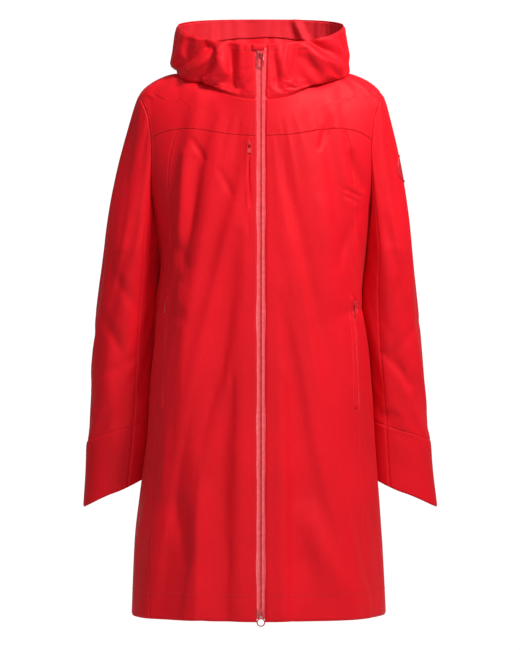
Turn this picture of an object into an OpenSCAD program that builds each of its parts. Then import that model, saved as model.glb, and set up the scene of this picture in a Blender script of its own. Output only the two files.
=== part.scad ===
/* [Body] */
// Length from the back neck loop down to the hem
body_length = 902; // [800:1:1100]
// Half of the width at the chest, under the arms
chest_half = 184; // [165:1:220]
// Half of the width at the waist
waist_half = 168; // [140:1:190]
// Half of the width at the hem
hem_half = 211; // [190:1:250]
// Distance of the armpit below the neck loop
armpit_drop = 230; // [200:1:250]
// Thickness of the three-layer cloth
cloth = 1.4; // [1:0.1:2]
// Gap between cloth pieces that are sewn edge to edge
seam_gap = 0.5; // [0.3:0.1:1]

/* [Neck and hood] */
// Half of the width of the neck seam
neck_half = 92; // [84:1:100]
// Depth of the neck seam behind the side seams
neck_back = 75; // [65:1:85]
// Drop of the neck seam at the centre front
neck_drop = 58; // [50:1:66]
// Half of the width across the hood's rim
rim_half = 139; // [125:1:150]
// Height of the hood's rim at the back
hood_height = 88; // [70:1:120]
// Height of the chin guard's top edge at the zip
chin_height = 33; // [25:1:45]

/* [Sleeves] */
// Height of the cuff's lowest point below the neck loop
sleeve_drop = 729; // [660:1:850]
// Half of the slant of the cuff's edge, outer side lower
cuff_slant = 25; // [0:1:40]
// Height of the cuff panel above the cuff's edge
cuff_height = 110; // [60:1:140]
// Diameter of the round patch on the left sleeve
badge_d = 46; // [30:1:60]

/* [Zips] */
// Half of the gap between the two edges of a zip
zip_half_gap = 0.7; // [0.6:0.05:0.9]
// Half of the window in the cloth that shows the front zip
zip_window = 7.5; // [7:0.5:10]
// Length of each hand pocket's opening
pocket_length = 180; // [140:5:200]
// Length of the chest pocket's opening
chest_length = 108; // [80:2:120]
// Radius of the zip's tooth coil
coil_r = 1.3; // [1:0.1:1.5]

/* [Hidden] */

// heights that follow from the driving sizes
hem_z = -body_length;
pit_z = -armpit_drop;
low_len = pit_z - hem_z;
waist_z = pit_z - 0.263 * low_len;
hip_z = pit_z - 0.463 * low_len;

// the centre front is one straight, leaning line, which the zip follows
zip_top = chin_height - 6;
front_top = 85;
front_hem = 150;
front_slope = (front_hem - front_top) / (chin_height - hem_z);
zip_tilt = atan(front_slope);
back_full = 112;

// shape of a ring round the body: 2 is an ellipse, more is boxier
boxy = 2.3;
// how far the shoulder path is pulled out over the chest's width, low and high on it
arm_swell = 56;
neck_swell = 16;
// heights that pull the shoulder path up
shoulder_low = -25;
shoulder_high = -12;
// part of the shoulder path, from armpit to neck, that the armhole takes
arm_top = 0.47;
// half of the armhole's width, as a turn round the body
arm_turn = 24;
// level of the yoke seam on the shoulder path, at the centre and its fall to the side
yoke_front = 0.657;
yoke_front_fall = 0.5;
yoke_back = 0.45;
yoke_back_fall = 0.25;
// turns where the hood's panels meet
collar_turn = 72;
hood_seam_turn = 147;

// clearance between the body and the parts that swing on it
swing_gap = 0.9;

red = "crimson";
dull = "firebrick";

function spow(c, e) = sign(c) * pow(abs(c), e);
function mix(a, b, f) = a + (b - a) * f;
function unit(v) = v / norm(v);

// a point of a ring with half width w, front depth f and back depth b at height z
function ring(t, w, f, b, z) =
    [w * spow(sin(t), 2 / boxy), -(cos(t) > 0 ? f : b) * spow(cos(t), 2 / boxy), z];
function front_y(z) = front_top + (chin_height - z) * front_slope;
function half_at(z) = lookup(z, [
    [hem_z, hem_half], [mix(hip_z, hem_z, 0.36), mix(waist_half, hem_half, 0.51)],
    [hip_z, mix(waist_half, hem_half, 0.35)], [waist_z, waist_half],
    [mix(pit_z, waist_z, 0.4), mix(chest_half, waist_half, 0.5)], [pit_z, chest_half]]);
function back_at(z) = lookup(z, [[hem_z, 150], [hip_z, 125], [waist_z, 100], [pit_z, back_full]]);

// the body's surface: turn t from the centre front, level k from -1 at the hem
// over 0 at the armpit to 1 at the neck seam
function low(t, k) =
    let (z = pit_z + k * low_len) ring(t, half_at(z), front_y(z), back_at(z), z);
function neck_z(t) = -neck_drop * pow((1 + cos(t)) / 2, 2.2);
function neck(t) = ring(t, neck_half, front_y(-neck_drop), neck_back, neck_z(t));
function bez(a, b, c, d, s) =
    a * pow(1 - s, 3) + 3 * b * s * pow(1 - s, 2) + 3 * c * s * s * (1 - s) + d * pow(s, 3);
function high(t, s) =
    let (a = low(t, 0), d = neck(t), m = pow(sin(t), 2), sx = spow(sin(t), 2 / boxy),
         b = mix(mix(a, d, 1 / 3), [(chest_half + arm_swell) * sx, a.y * 0.95, shoulder_low], m),
         c = mix(mix(a, d, 2 / 3), [(chest_half + neck_swell) * sx, a.y * 0.7, shoulder_high], m))
    bez(a, b, c, d, s);
function body(t, k) = k < 0 ? low(t, k) : high(t, k);

// seams on the body's surface, as levels or turns
function yoke_level(t) = cos(t) > 0
    ? yoke_front - yoke_front_fall * pow(sin(t), 2)
    : yoke_back - yoke_back_fall * pow(sin(t), 2);
function arm_edge(k) = 90 - arm_turn * sqrt(max(0, 1 - pow(2 * k / arm_top - 1, 2)));
// level where the yoke seam meets the armhole
arm_join = 0.24;
// rows of facets up a body panel, the same in all so that their edges match
panel_rows = 30;
function princess(b) = lookup(b, [[0, 55.5], [0.06, 56.1], [0.235, 60], [0.41, 60.8],
    [0.616, 64.3], [0.78, 55], [1, 47.7]]);
function princess_level(b) = -1 + b * (1 + yoke_level(princess(b)));

// a closed sheet of cloth over surface p(a, b), a and b from 0 to 1, shifted by off
// along the normal; a runs round, b runs up, and the normal points outwards
function normal_at(p, a, b) =
    let (e = 0.004, a0 = max(0, a - e), a1 = min(1, a + e), b0 = max(0, b - e), b1 = min(1, b + e))
    unit(cross(p(a1, b) - p(a0, b), p(a, b1) - p(a, b0)));
module sheet(p, na, nb, off = 0, th = cloth) {
    mid = [for (j = [0 : nb]) for (i = [0 : na]) p(i / na, j / nb)];
    nrm = [for (j = [0 : nb]) for (i = [0 : na]) normal_at(p, i / na, j / nb)];
    count = len(mid);
    row = na + 1;
    outer = [for (i = [0 : count - 1]) mid[i] + nrm[i] * (off + th / 2)];
    inner = [for (i = [0 : count - 1]) mid[i] + nrm[i] * (off - th / 2)];
    quads = [for (j = [0 : nb - 1]) for (i = [0 : na - 1])
        [j * row + i, j * row + i + 1, (j + 1) * row + i + 1, (j + 1) * row + i]];
    tris = [for (q = quads) each [[q[0], q[2], q[1]], [q[0], q[3], q[2]]]];
    edge = concat([for (i = [0 : na]) i], [for (j = [1 : nb]) j * row + na],
        [for (i = [na - 1 : -1 : 0]) nb * row + i], [for (j = [nb - 1 : -1 : 1]) j * row]);
    around = len(edge);
    rim = [for (i = [0 : around - 1]) let (x = edge[i], y = edge[(i + 1) % around])
        each [[x, y, y + count], [x, y + count, x + count]]];
    back_tris = [for (f = tris) [f[0] + count, f[2] + count, f[1] + count]];
    polyhedron(concat(outer, inner), concat(tris, back_tris, rim));
}

// shrinks a range of turns or levels at both ends by the seam gap
function inset(f, span_mm) = mix(seam_gap / 2 / span_mm, 1 - seam_gap / 2 / span_mm, f);

module pair(side) {
    if (side == "left") children();
    else mirror([1, 0, 0]) children();
}

// ---- body panels, all drawn for the wearer's left side, which is +X ----
// turn at which the cloth leaves the zip's window, from the half width at that level
function level_half(k) =
    k < 0 ? half_at(pit_z + k * low_len) : mix(chest_half, neck_half, k);
function edge_turn(k) = asin(pow(zip_window / level_half(k), boxy / 2));
function centre_turn(b) = edge_turn(-1 + b * (1 + yoke_front));

module front_panel_whole() {
    sheet(function(a, b) let (bb = inset(b, 780), aa = inset(a, 180),
        t = mix(centre_turn(bb), princess(bb), aa))
        body(t, -1 + bb * (1 + yoke_level(t))), 8, panel_rows);
}

module front_panel(slit = false) {
    difference() {
        front_panel_whole();
        pocket_cut();
        if (slit) mirror([1, 0, 0]) chest_cut();
    }
}

// lifts a side panel's rows towards its top, so that its top edge lies on the yoke seam
function side_lift(b, t_in, t_out, aa) =
    pow(b, 8) * (yoke_level(mix(t_in, t_out, aa)) - mix(yoke_level(t_in), yoke_level(t_out), aa));
module side_front_whole() {
    sheet(function(a, b) let (bb = inset(b, 780), aa = inset(a, 60),
        k1 = -1 + (1 + arm_join) * bb,
        t = mix(princess(bb), arm_edge(max(0, k1)), aa),
        k = mix(princess_level(bb), k1, aa))
        body(t, k + side_lift(bb, princess(1), arm_edge(arm_join), aa)), 6, panel_rows);
}

module side_front() {
    difference() {
        side_front_whole();
        pocket_cut();
    }
}

module side_back() {
    sheet(function(a, b) let (bb = inset(b, 780), aa = inset(a, 60),
        k1 = -1 + (1 + arm_join) * bb,
        t = mix(180 - arm_edge(max(0, k1)), 180 - princess(bb), aa),
        k = mix(k1, -1 + bb * (1 + yoke_level(180 - princess(bb))), aa))
        body(t, k + side_lift(bb, 180 - arm_edge(arm_join), 180 - princess(1), aa)), 6, panel_rows);
}

module back_panel() {
    color(red) sheet(function(a, b) let (bb = inset(b, 780), aa = inset(a, 300),
        t = mix(180 - princess(bb), 180 + princess(bb), aa))
        body(t, -1 + bb * (1 + yoke_level(t))), 14, panel_rows);
}

// the yokes run from the yoke seam over the armhole's edge to the shoulder and the neck
cap = 0.42;
function yoke_turn(b) = b < cap
    ? arm_edge(mix(arm_join, arm_top, b / cap)) : 90;
function yoke_edge(b) = b < cap
    ? mix(arm_join, arm_top, b / cap) : mix(arm_top, 1, (b - cap) / (1 - cap));
module front_yoke() {
    sheet(function(a, b) let (bb = inset(b, 110), aa = inset(a, 150),
        t = mix(edge_turn(mix(yoke_front, 1, bb)), yoke_turn(bb), aa),
        fit = yoke_edge(bb) - mix(yoke_level(yoke_turn(bb)), 1, bb))
        body(t, mix(yoke_level(t), 1, bb) + fit * pow(aa, 3)), 12, 12);
}
module back_yoke() {
    color(red) sheet(function(a, b) let (bb = inset(b, 130), aa = inset(a, 300),
        end = yoke_turn(bb), t = mix(180 - end, 180 + end, aa),
        fit = yoke_edge(bb) - mix(yoke_level(180 - end), 1, bb))
        body(t, mix(yoke_level(t), 1, bb) + fit * pow(abs(2 * aa - 1), 3)), 20, 12);
}

// ---- collar and hood ----
function rim_z(t) = chin_height + (hood_height - chin_height) * pow((1 - cos(t)) / 2, 0.8);
// the hood's lower edge clears the yoke, by more where the shoulder lies under it
neck_rise = seam_gap + 0.6;
side_rise = cloth + 0.4;
function hood(t, h) =
    let (m = pow(sin(t), 2), a = neck(t) + [0, 0, neck_rise + side_rise * m], z = rim_z(t),
         wide = mix(rim_half, neck_half + 4, pow(max(0, cos(t)), 8)),
         d = ring(t, wide, front_y(z), neck_back + 22, z),
         sx = spow(sin(t), 2 / boxy), lean = -spow(cos(t), 2 / boxy),
         b = mix(mix(a, d, 1 / 3), a + [70 * sx, 16 * lean, 6], m),
         c = mix(mix(a, d, 2 / 3) + (cos(t) < 0 ? [0, 10, 0] : [0, 0, 0]),
                 d + [13 * sx, 12 * lean, -58], m))
    bez(a, b, c, d, h);
module collar() {
    sheet(function(a, b) let (bb = inset(b, 90),
        t = mix(edge_turn(1), collar_turn, inset(a, 110)))
        hood(t, bb), 9, 8);
}
// part of the hood's height left open under the panels that tilt
swing_lift = 0.012;
module hood_side() {
    sheet(function(a, b) hood(mix(collar_turn + 0.8, hood_seam_turn - 0.15, a),
        mix(swing_lift, 1, b)), 10, 8);
}
module hood_centre() {
    color(red) sheet(function(a, b) hood(mix(hood_seam_turn + 0.15, 360 - hood_seam_turn - 0.15, a),
        mix(swing_lift, 1, b)), 10, 8);
}
facing_off = -cloth - 0.3;
module hood_rim_facing() {
    color(dull) sheet(function(a, b) hood(mix(collar_turn + 3, 360 - collar_turn - 3, a),
        mix(0.82, 0.985, b)), 28, 2, facing_off, 1);
}
module collar_facing() {
    color(dull) for (side = ["left", "right"]) pair(side)
        sheet(function(a, b) hood(mix(10.5, collar_turn - 3, a), mix(0.78, 0.985, b)),
            8, 2, facing_off, 1);
}
module neck_tape() {
    color(dull) sheet(function(a, b) body(mix(110, 250, a), mix(0.86, 0.98, b)),
        12, 2, facing_off, 1);
}

// ---- trims inside the body ----
module hem_facing() {
    color(dull) for (side = ["left", "right"]) pair(side)
        sheet(function(a, b) body(mix(9, 179.9, a), mix(-0.998, -0.935, b)),
            20, 1, facing_off, 1);
}

// zip frame: origin at the zip's top end, +Z up along the zip, -Y out of the front
module on_zip() {
    translate([0, -front_y(zip_top), zip_top]) rotate([-zip_tilt, 0, 0]) children();
}
zip_len = (zip_top - hem_z - 4) / cos(zip_tilt);
tape_front = cloth / 2 + 0.4;
tape_th = 1;
tape_w = 11.3;
coil_y = tape_front + tape_th + 0.1 + coil_r;
coil_x = zip_half_gap + coil_r;
module zip_tape() {
    on_zip() translate([zip_half_gap, tape_front, -zip_len]) cube([tape_w, tape_th, zip_len]);
}
module zip_coil() {
    on_zip() translate([coil_x, coil_y, -zip_len + stop_len])
        cylinder(r = coil_r, h = zip_len - 2 * stop_len, $fn = 24);
}
// a stop fills the end of a coil's line, a little shorter than the space kept for it
stop_len = 4;
stop_half = 1.1;
stop_th = 3;
module zip_stops(z) {
    color("silver") on_zip() for (x = [-coil_x, coil_x])
        translate([x - stop_half, tape_front + tape_th, z])
            cube([2 * stop_half, stop_th, stop_len - 0.3]);
}
module zip_top_stops() { zip_stops(-stop_len + 0.3); }
module zip_bottom_pin() { zip_stops(-zip_len); }
flap_w = 44;
flap_y = 9.5;
module storm_flap() {
    color(dull) on_zip() translate([-flap_w / 2, flap_y, -zip_len + 8]) cube([flap_w, 1, zip_len - 12]);
}

// ---- sliders and pulls, in the frame of their own zip ----
slide_len = 11;
plate_th = 1.6;
rear_half = 4.6;
rear_th = 1.3;
// the slider's plate stands this far in front of the tape, and its bridge in front of that
plate_gap = 0.4;
bridge_rise = 5.4;
bridge_half = 1.1;
eye_h = 2.4;
module slider(window) {
    plate = window - 1;
    front = tape_front - plate_gap;
    rear = coil_y + coil_r + 0.35;
    post = zip_half_gap - 0.3;
    translate([-plate, front - plate_th, -slide_len]) cube([2 * plate, plate_th, slide_len]);
    translate([-post, front - 0.1, -slide_len + 2])
        cube([2 * post, rear - front + 0.2, slide_len - 4]);
    translate([-rear_half, rear, -slide_len]) cube([2 * rear_half, rear_th, slide_len]);
    difference() {
        translate([-bridge_half, front - bridge_rise, -slide_len + 1])
            cube([2 * bridge_half, bridge_rise - plate_th + 0.2, slide_len - 2]);
        translate([-2 * bridge_half, front - bridge_rise + bridge_half, -slide_len + 2.6])
            cube([4 * bridge_half, eye_h, slide_len - 5.2]);
    }
}
pivot_y = tape_front - plate_gap - bridge_rise + bridge_half + eye_h / 2;
pivot_z = -slide_len / 2;
bar_r = 0.85;
// a loop that hangs from its own cross bar, which lies in the slider's bridge
module loop_pull(half, drop) {
    for (z = [0, -drop]) translate([0, 0, z]) rotate([0, 90, 0])
        cylinder(r = bar_r, h = 2 * half, center = true, $fn = 24);
    for (x = [-half, half]) translate([x, 0, -drop]) cylinder(r = bar_r, h = drop, $fn = 24);
    for (x = [-half, half]) for (z = [0, -drop]) translate([x, 0, z]) sphere(r = bar_r, $fn = 24);
}
stem_half = 2.6;
module ring_pull(r, drop) {
    translate([0, 0, -drop - r]) rotate([90, 0, 0])
        rotate_extrude($fn = 48) translate([r, 0]) circle(r = bar_r, $fn = 24);
    rotate([0, 90, 0]) cylinder(r = bar_r, h = 2 * stem_half, center = true, $fn = 24);
    for (x = [-stem_half, stem_half]) translate([x, 0, -drop - 1]) {
        cylinder(r = bar_r, h = drop + 1, $fn = 24);
        translate([0, 0, drop + 1]) sphere(r = bar_r, $fn = 24);
    }
}
slider_rest = -stop_len - 0.6;
module at_top_slider() {
    on_zip() translate([0, 0, slider_rest]) children();
}
module at_bottom_slider() {
    on_zip() translate([0, 0, -zip_len + stop_len + 0.6 + slide_len]) children();
}
pull_drop = 20;
module top_slider() { color(red) at_top_slider() slider(zip_window); }
module top_pull() {
    color(red) at_top_slider() translate([0, pivot_y, pivot_z]) loop_pull(4.6, pull_drop);
}
module bottom_slider() { color(red) at_bottom_slider() slider(zip_window); }
module bottom_pull() {
    color(dull) at_bottom_slider() translate([0, pivot_y, pivot_z])
        rotate([zip_tilt, 0, 0]) ring_pull(6.2, 9);
}
// the flap of the chin guard that folds over the zip's top end
module zip_garage() {
    color(red) on_zip() translate([-zip_window - 7, -cloth / 2 - 1.5, slider_rest + 0.8])
        cube([2 * zip_window + 6, 1.3, 9.5]);
}

// ---- hand pockets in the princess seams ----
pocket_b = 0.617;
pocket_top = body(princess(pocket_b), princess_level(pocket_b));
pocket_b_low = pocket_b - pocket_length / (low_len * 1.25);
pocket_low = body(princess(pocket_b_low), princess_level(pocket_b_low));
pocket_up = unit(pocket_top - pocket_low);
pocket_side = unit([cos(50), sin(50), 0] - pocket_up * ([cos(50), sin(50), 0] * pocket_up));
pocket_in = cross(pocket_up, pocket_side);
// pocket frame: origin at the opening's top, +Z up along it, -Y out, +X to the side
module on_pocket() {
    x = pocket_side;
    y = pocket_in;
    z = pocket_up;
    o = pocket_top;
    multmatrix([[x.x, y.x, z.x, o.x], [x.y, y.y, z.y, o.y], [x.z, y.z, z.z, o.z], [0, 0, 0, 1]])
        children();
}

// the cloth is cut away over the opening, and the pocket's zip lies in that window
pocket_win = 5.5;
module pocket_cut() {
    on_pocket() translate([-pocket_win, -12, -pocket_length])
        cube([2 * pocket_win, 24, pocket_length]);
}
pocket_tape_y = cloth / 2 + 0.9;
// the welt covers the cut's front edge only, so the pull can swing out beside it
welt_w = 11;
welt_th = 1.2;
welt_lap = 9;
welt_over = 6;
module pocket_welt() {
    on_pocket() translate([-pocket_win - welt_lap, -cloth / 2 - 3.5, -pocket_length - welt_over])
        cube([welt_w, welt_th, pocket_length + 2 * welt_over]);
}
module pocket_zip() {
    on_pocket() for (x = [-5, 0.6]) translate([x, pocket_tape_y, -pocket_length + 1])
        cube([4.4, 0.8, pocket_length - 2]);
}
mini_len = 8;
// the small slider of a pocket: front plate, post between the tapes, and rear plate
module mini_slider() {
    translate([-4, pocket_tape_y - 1.7, -mini_len]) cube([8, 1.4, mini_len]);
    translate([-0.3, pocket_tape_y - 0.5, -mini_len + 2]) cube([0.6, 1.9, mini_len - 4]);
    translate([-4, pocket_tape_y + 1.1, -mini_len]) cube([8, 1, mini_len]);
    difference() {
        translate([-0.8, pocket_tape_y - 3.9, -mini_len + 0.5]) cube([1.6, 2.4, mini_len - 1]);
        translate([-2, pocket_tape_y - 3.3, -mini_len + 2]) cube([4, 1.4, mini_len - 4]);
    }
}
mini_bar_r = 0.45;
mini_pivot_y = pocket_tape_y - 2.6;
module mini_pull() {
    translate([0, mini_pivot_y, -mini_len / 2]) {
        rotate([0, 90, 0]) cylinder(r = mini_bar_r, h = 5, center = true, $fn = 24);
        for (x = [-2.5, 2.5]) translate([x, 0, -9]) cylinder(r = mini_bar_r, h = 9, $fn = 24);
        translate([-2.95, -mini_bar_r, -16]) cube([5.9, 2 * mini_bar_r, 7]);
    }
}
module pocket_slider() { on_pocket() translate([0, 0, -2]) mini_slider(); }
module pocket_pull() { on_pocket() translate([0, 0, -2]) mini_pull(); }
bag_off = -6.5;
module pocket_bag() {
    b1 = pocket_b + 0.01;
    b0 = pocket_b_low - 0.05;
    sheet(function(a, b) let (bb = mix(b0, b1, b), t = mix(16, princess(bb) - 7, a))
        body(t, -1 + bb * 1.25), 8, 8, bag_off, 2.4);
}

// ---- chest pocket behind a slit beside the front zip, on the wearer's right ----
chest_x = -19;
chest_top = -124;
module on_chest() {
    translate([chest_x, -front_y(chest_top) + 0.35, chest_top]) rotate([-zip_tilt, 0, 0]) children();
}
module chest_cut() {
    on_chest() translate([-1, -6, -chest_length]) cube([2, 12, chest_length]);
}
chest_tape_y = 1.6;
module chest_pocket_zip() {
    color(dull) on_chest() for (x = [-4.6, 0.6]) translate([x, chest_tape_y, -chest_length])
        cube([4, 0.8, chest_length]);
}
module chest_slider() {
    color("silver") on_chest() translate([0, 0, -1]) {
        translate([-0.3, -0.2, -mini_len + 2]) cube([0.6, 3.2, mini_len - 4]);
        translate([-4, chest_tape_y + 1.1, -mini_len]) cube([8, 1, mini_len]);
        difference() {
            translate([-0.8, -2.7, -mini_len + 0.5]) cube([1.6, 3.2, mini_len - 1]);
            translate([-2, -2.1, -mini_len + 2]) cube([4, 1.4, mini_len - 4]);
        }
    }
}
module chest_pull() {
    color(red) on_chest() translate([0, -pocket_tape_y + 1.2, -1]) mini_pull();
}
// its bag lies behind the front, from beside the slit towards the side
module chest_pocket_bag() {
    color(dull) sheet(function(a, b) body(mix(-13, -46, 1 - a), mix(-0.16, 0.55, b)),
        5, 6, bag_off, 2);
}

// ---- loop and label at the back neck, inside ----
loop_w = 50;
loop_y = neck_back - 14;
module hang_loop() {
    color(dull) translate([0, loop_y, 0]) {
        difference() {
            rotate([90, 0, 0]) cylinder(r = loop_w / 2, h = 2, center = true, $fn = 64);
            rotate([90, 0, 0]) cylinder(r = loop_w / 2 - 3, h = 4, center = true, $fn = 64);
            translate([-loop_w, -5, -loop_w - 4]) cube([2 * loop_w, 10, loop_w]);
        }
    }
}
module size_label() {
    color("white") translate([-14, neck_back - 6, -46]) cube([28, 0.6, 34]);
}

// ---- sleeves: turn p from the outer side over the front, level q from the armhole ----
function arm_hole(p) =
    body(90 - arm_turn * sin(p), arm_top * (1 + cos(p)) / 2) + [swing_gap + cloth / 2, 0, 0];
// below this height the sleeve is a plain tube
tube_z = pit_z - 70;
function out_x(z) = chest_half
    + lookup(z, [[-729, 111], [-646, 105], [-566, 100], [-429, 88], [-300, 72]]);
function in_x(z) = half_at(z) + lookup(z, [[-690, -3], [-541, -1.5], [-430, -1], [-300, 3]]);
function tube_d(z) = lookup(z, [[-729, 40], [-650, 43], [-560, 49], [-430, 56], [-300, 62]]);
function tube_mid(z) = lookup(z, [[-600, 44], [-430, 36], [-300, 24]]);
function tube(p, z) =
    let (mid = (out_x(z) + in_x(z)) / 2, half = (out_x(z) - in_x(z)) / 2)
    [mid + half * spow(cos(p), 0.87), tube_mid(z) - tube_d(z) * spow(sin(p), 0.87), z];
function cuff_z(p) = -sleeve_drop + cuff_slant - cuff_slant * cos(p);
function sleeve(p, q) = q > 1
    ? tube(p, mix(tube_z, cuff_z(p), q - 1))
    : let (a = arm_hole(p), d = tube(p, tube_z), l = norm(d - a), o = (1 + cos(p)) / 2)
      bez(a, a + l / 3 * [0.05 + 0.25 * o, 0, -0.8], d - l / 3 * [0.1, 0, -1], d, q);
cuff_q = 2 - cuff_height / (sleeve_drop + tube_z);
seam_p = 112;
module sleeve_top() {
    sheet(function(a, b) sleeve(mix(-seam_p, seam_p, 1 - inset(a, 260)),
        mix(0, cuff_q - 0.002, 1 - b)), 18, 22);
}
module sleeve_under() {
    sheet(function(a, b) sleeve(mix(seam_p, 360 - seam_p, 1 - inset(a, 130)),
        mix(0, cuff_q - 0.002, 1 - b)), 8, 22);
}
module cuff() {
    sheet(function(a, b) sleeve(mix(-248, 111.8, 1 - a), mix(cuff_q, 2, 1 - b)), 26, 4);
}
module cuff_facing() {
    sheet(function(a, b) sleeve(mix(-246, 110, 1 - a), mix(1.93, 1.995, 1 - b)), 26, 1,
        -cloth - 0.3, 1);
}
badge_p = 22;
badge_q = 0.46;
module sleeve_badge() {
    c = sleeve(badge_p, badge_q);
    n = normal_at(function(a, b) sleeve(badge_p + 20 * a - 10, badge_q - 0.1 * b + 0.05), 0.5, 0.5);
    color("red") translate(c - n * (cloth / 2 + 1)) rotate([0, acos(-n.z), atan2(-n.y, -n.x)])
        cylinder(d = badge_d, h = 1.2, $fn = 48);
}

color(red) pair("right") front_yoke();  // front_yoke_right
color(red) pair("left") front_yoke();  // front_yoke_left
color(red) pair("right") front_panel(true);  // front_panel_right
color(red) pair("left") front_panel();  // front_panel_left
color(red) pair("right") side_front();  // side_front_right
color(red) pair("left") side_front();  // side_front_left
color(dull) pair("right") side_back();  // side_back_right
color(dull) pair("left") side_back();  // side_back_left
back_panel();
back_yoke();
color(red) pair("right") collar();  // collar_right
color(red) pair("left") collar();  // collar_left
collar_facing();
hem_facing();
storm_flap();
color(red) pair("right") zip_tape();  // zip_tape_right
color(red) pair("left") zip_tape();  // zip_tape_left
color(dull) pair("right") zip_coil();  // zip_coil_right
color(dull) pair("left") zip_coil();  // zip_coil_left
zip_top_stops();
zip_bottom_pin();
zip_garage();
top_slider();
top_pull();
bottom_slider();
bottom_pull();
color(red) pair("right") pocket_welt();  // pocket_welt_right
color(red) pair("left") pocket_welt();  // pocket_welt_left
color(dull) pair("right") pocket_zip();  // pocket_zip_right
color(dull) pair("left") pocket_zip();  // pocket_zip_left
color(dull) pair("right") pocket_bag();  // pocket_bag_right
color(dull) pair("left") pocket_bag();  // pocket_bag_left
color(red) pair("right") pocket_slider();  // pocket_slider_right
color(red) pair("left") pocket_slider();  // pocket_slider_left
color(red) pair("right") pocket_pull();  // pocket_pull_right
color(red) pair("left") pocket_pull();  // pocket_pull_left
chest_pocket_zip();
chest_pocket_bag();
chest_slider();
chest_pull();
neck_tape();
hang_loop();
size_label();
color(red) pair("right") sleeve_top();  // sleeve_top_right
color(red) pair("left") sleeve_top();  // sleeve_top_left
color(dull) pair("right") sleeve_under();  // sleeve_under_right
color(dull) pair("left") sleeve_under();  // sleeve_under_left
color(red) pair("right") cuff();  // cuff_right
color(red) pair("left") cuff();  // cuff_left
color(dull) pair("right") cuff_facing();  // cuff_facing_right
color(dull) pair("left") cuff_facing();  // cuff_facing_left
sleeve_badge();
color(dull) pair("right") hood_side();  // hood_side_right
color(dull) pair("left") hood_side();  // hood_side_left
hood_centre();
hood_rim_facing();
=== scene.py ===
# %% [markdown]
# # A long hooded shell jacket, cell by cell
#
# The jacket hangs from the loop at its back neck. Everything soft on it is cut from one
# three-layer cloth, so the whole lesson rests on one idea: a garment is a few smooth
# surfaces (body, hood, two sleeves), and each panel is a patch of one of them. Because
# neighbouring panels read the same surface, their seams always meet.

# %% Load the frame
import bpy
import numpy as np
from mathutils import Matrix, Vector


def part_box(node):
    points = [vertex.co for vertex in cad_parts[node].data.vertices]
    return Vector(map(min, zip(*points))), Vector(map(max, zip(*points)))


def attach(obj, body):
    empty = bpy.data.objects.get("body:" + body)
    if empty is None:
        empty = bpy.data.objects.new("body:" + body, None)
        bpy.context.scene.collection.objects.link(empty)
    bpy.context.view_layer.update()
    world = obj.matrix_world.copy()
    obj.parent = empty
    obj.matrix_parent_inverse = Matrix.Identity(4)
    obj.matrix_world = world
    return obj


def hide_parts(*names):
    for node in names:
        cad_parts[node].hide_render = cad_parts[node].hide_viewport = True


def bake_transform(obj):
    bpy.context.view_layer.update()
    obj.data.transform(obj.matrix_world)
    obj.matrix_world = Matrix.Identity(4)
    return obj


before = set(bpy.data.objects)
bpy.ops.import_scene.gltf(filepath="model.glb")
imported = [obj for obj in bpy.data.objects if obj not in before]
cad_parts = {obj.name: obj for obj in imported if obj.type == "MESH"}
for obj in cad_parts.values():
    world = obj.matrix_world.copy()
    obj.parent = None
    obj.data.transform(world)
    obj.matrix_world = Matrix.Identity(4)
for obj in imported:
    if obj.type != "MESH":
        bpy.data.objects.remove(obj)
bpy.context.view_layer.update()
MM = 0.001

# %% [markdown]
# ## Sizes
#
# Lengths are in millimetres until a mesh is made. The big ones are read from the frame, so
# the cloth follows the model. The outline of the body isn't the same on both sides,
# because a hanging jacket never is: each side has its own short list of half widths.

# %% Sizes that drive the surfaces
HEM_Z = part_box("front_panel_left")[0][2] / MM + 0.3
PIT_Z = -230.0
CHIN_Z = 33.0
RIM_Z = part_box("hood_centre")[1][2] / MM
CUFF_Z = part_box("cuff_left")[0][2] / MM + 0.3
LOW_LENGTH = PIT_Z - HEM_Z
FRONT_TOP, FRONT_HEM = 85.0, 150.0
FRONT_SLOPE = (FRONT_HEM - FRONT_TOP) / (CHIN_Z - HEM_Z)
NECK_HALF, NECK_BACK, NECK_DROP = 92.0, 75.0, 58.0
HALF_LEFT = [(-902, 206), (-756, 194), (-690, 189.5), (-596, 184), (-544, 182), (-495, 178.5),
             (-444, 173.5), (-407, 169), (-343, 171), (-270, 179), (-230, 184)]
HALF_RIGHT = [(-902, 216), (-756, 205), (-721, 201), (-671, 195), (-607, 187), (-528, 183),
              (-487, 181), (-424, 177), (-376, 172), (-307, 168.5), (-270, 174), (-230, 182)]
BACK_DEPTH = [(-902, 150), (-541, 125), (-407, 101), (-230, 112)]
ROUND = 2 / 2.3
print(f"hem at {HEM_Z:.0f} mm, cuff at {CUFF_Z:.0f} mm, hood at {RIM_Z:.0f} mm")

# %% [markdown]
# ## Helpers for smooth curves
#
# `through` is the draughtsman's spline: a cubic that passes through a few chosen points.
# `signed_power` turns a sine into the boxier wave of a superellipse, which is how cloth
# with some body to it hangs: flat in front, round at the sides.

# %% Curve helpers
def through(x, knots):
    """Cubic Hermite curve through (x, y) knots, with slopes from their neighbours."""
    xs, ys = np.array(sorted(knots), float).T
    slope = np.gradient(ys, xs)
    i = np.clip(np.searchsorted(xs, x) - 1, 0, len(xs) - 2)
    h = xs[i + 1] - xs[i]
    f = np.clip((x - xs[i]) / h, 0, 1)
    return (ys[i] * (1 + 2 * f) * (1 - f) ** 2 + ys[i + 1] * f * f * (3 - 2 * f)
            + h * slope[i] * f * (1 - f) ** 2 - h * slope[i + 1] * f * f * (1 - f))


def signed_power(c, e):
    """The sign of c times |c| to the power e."""
    return np.sign(c) * np.abs(c) ** e


def mix(a, b, f):
    """Straight blend from a to b."""
    return a + (b - a) * f


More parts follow.
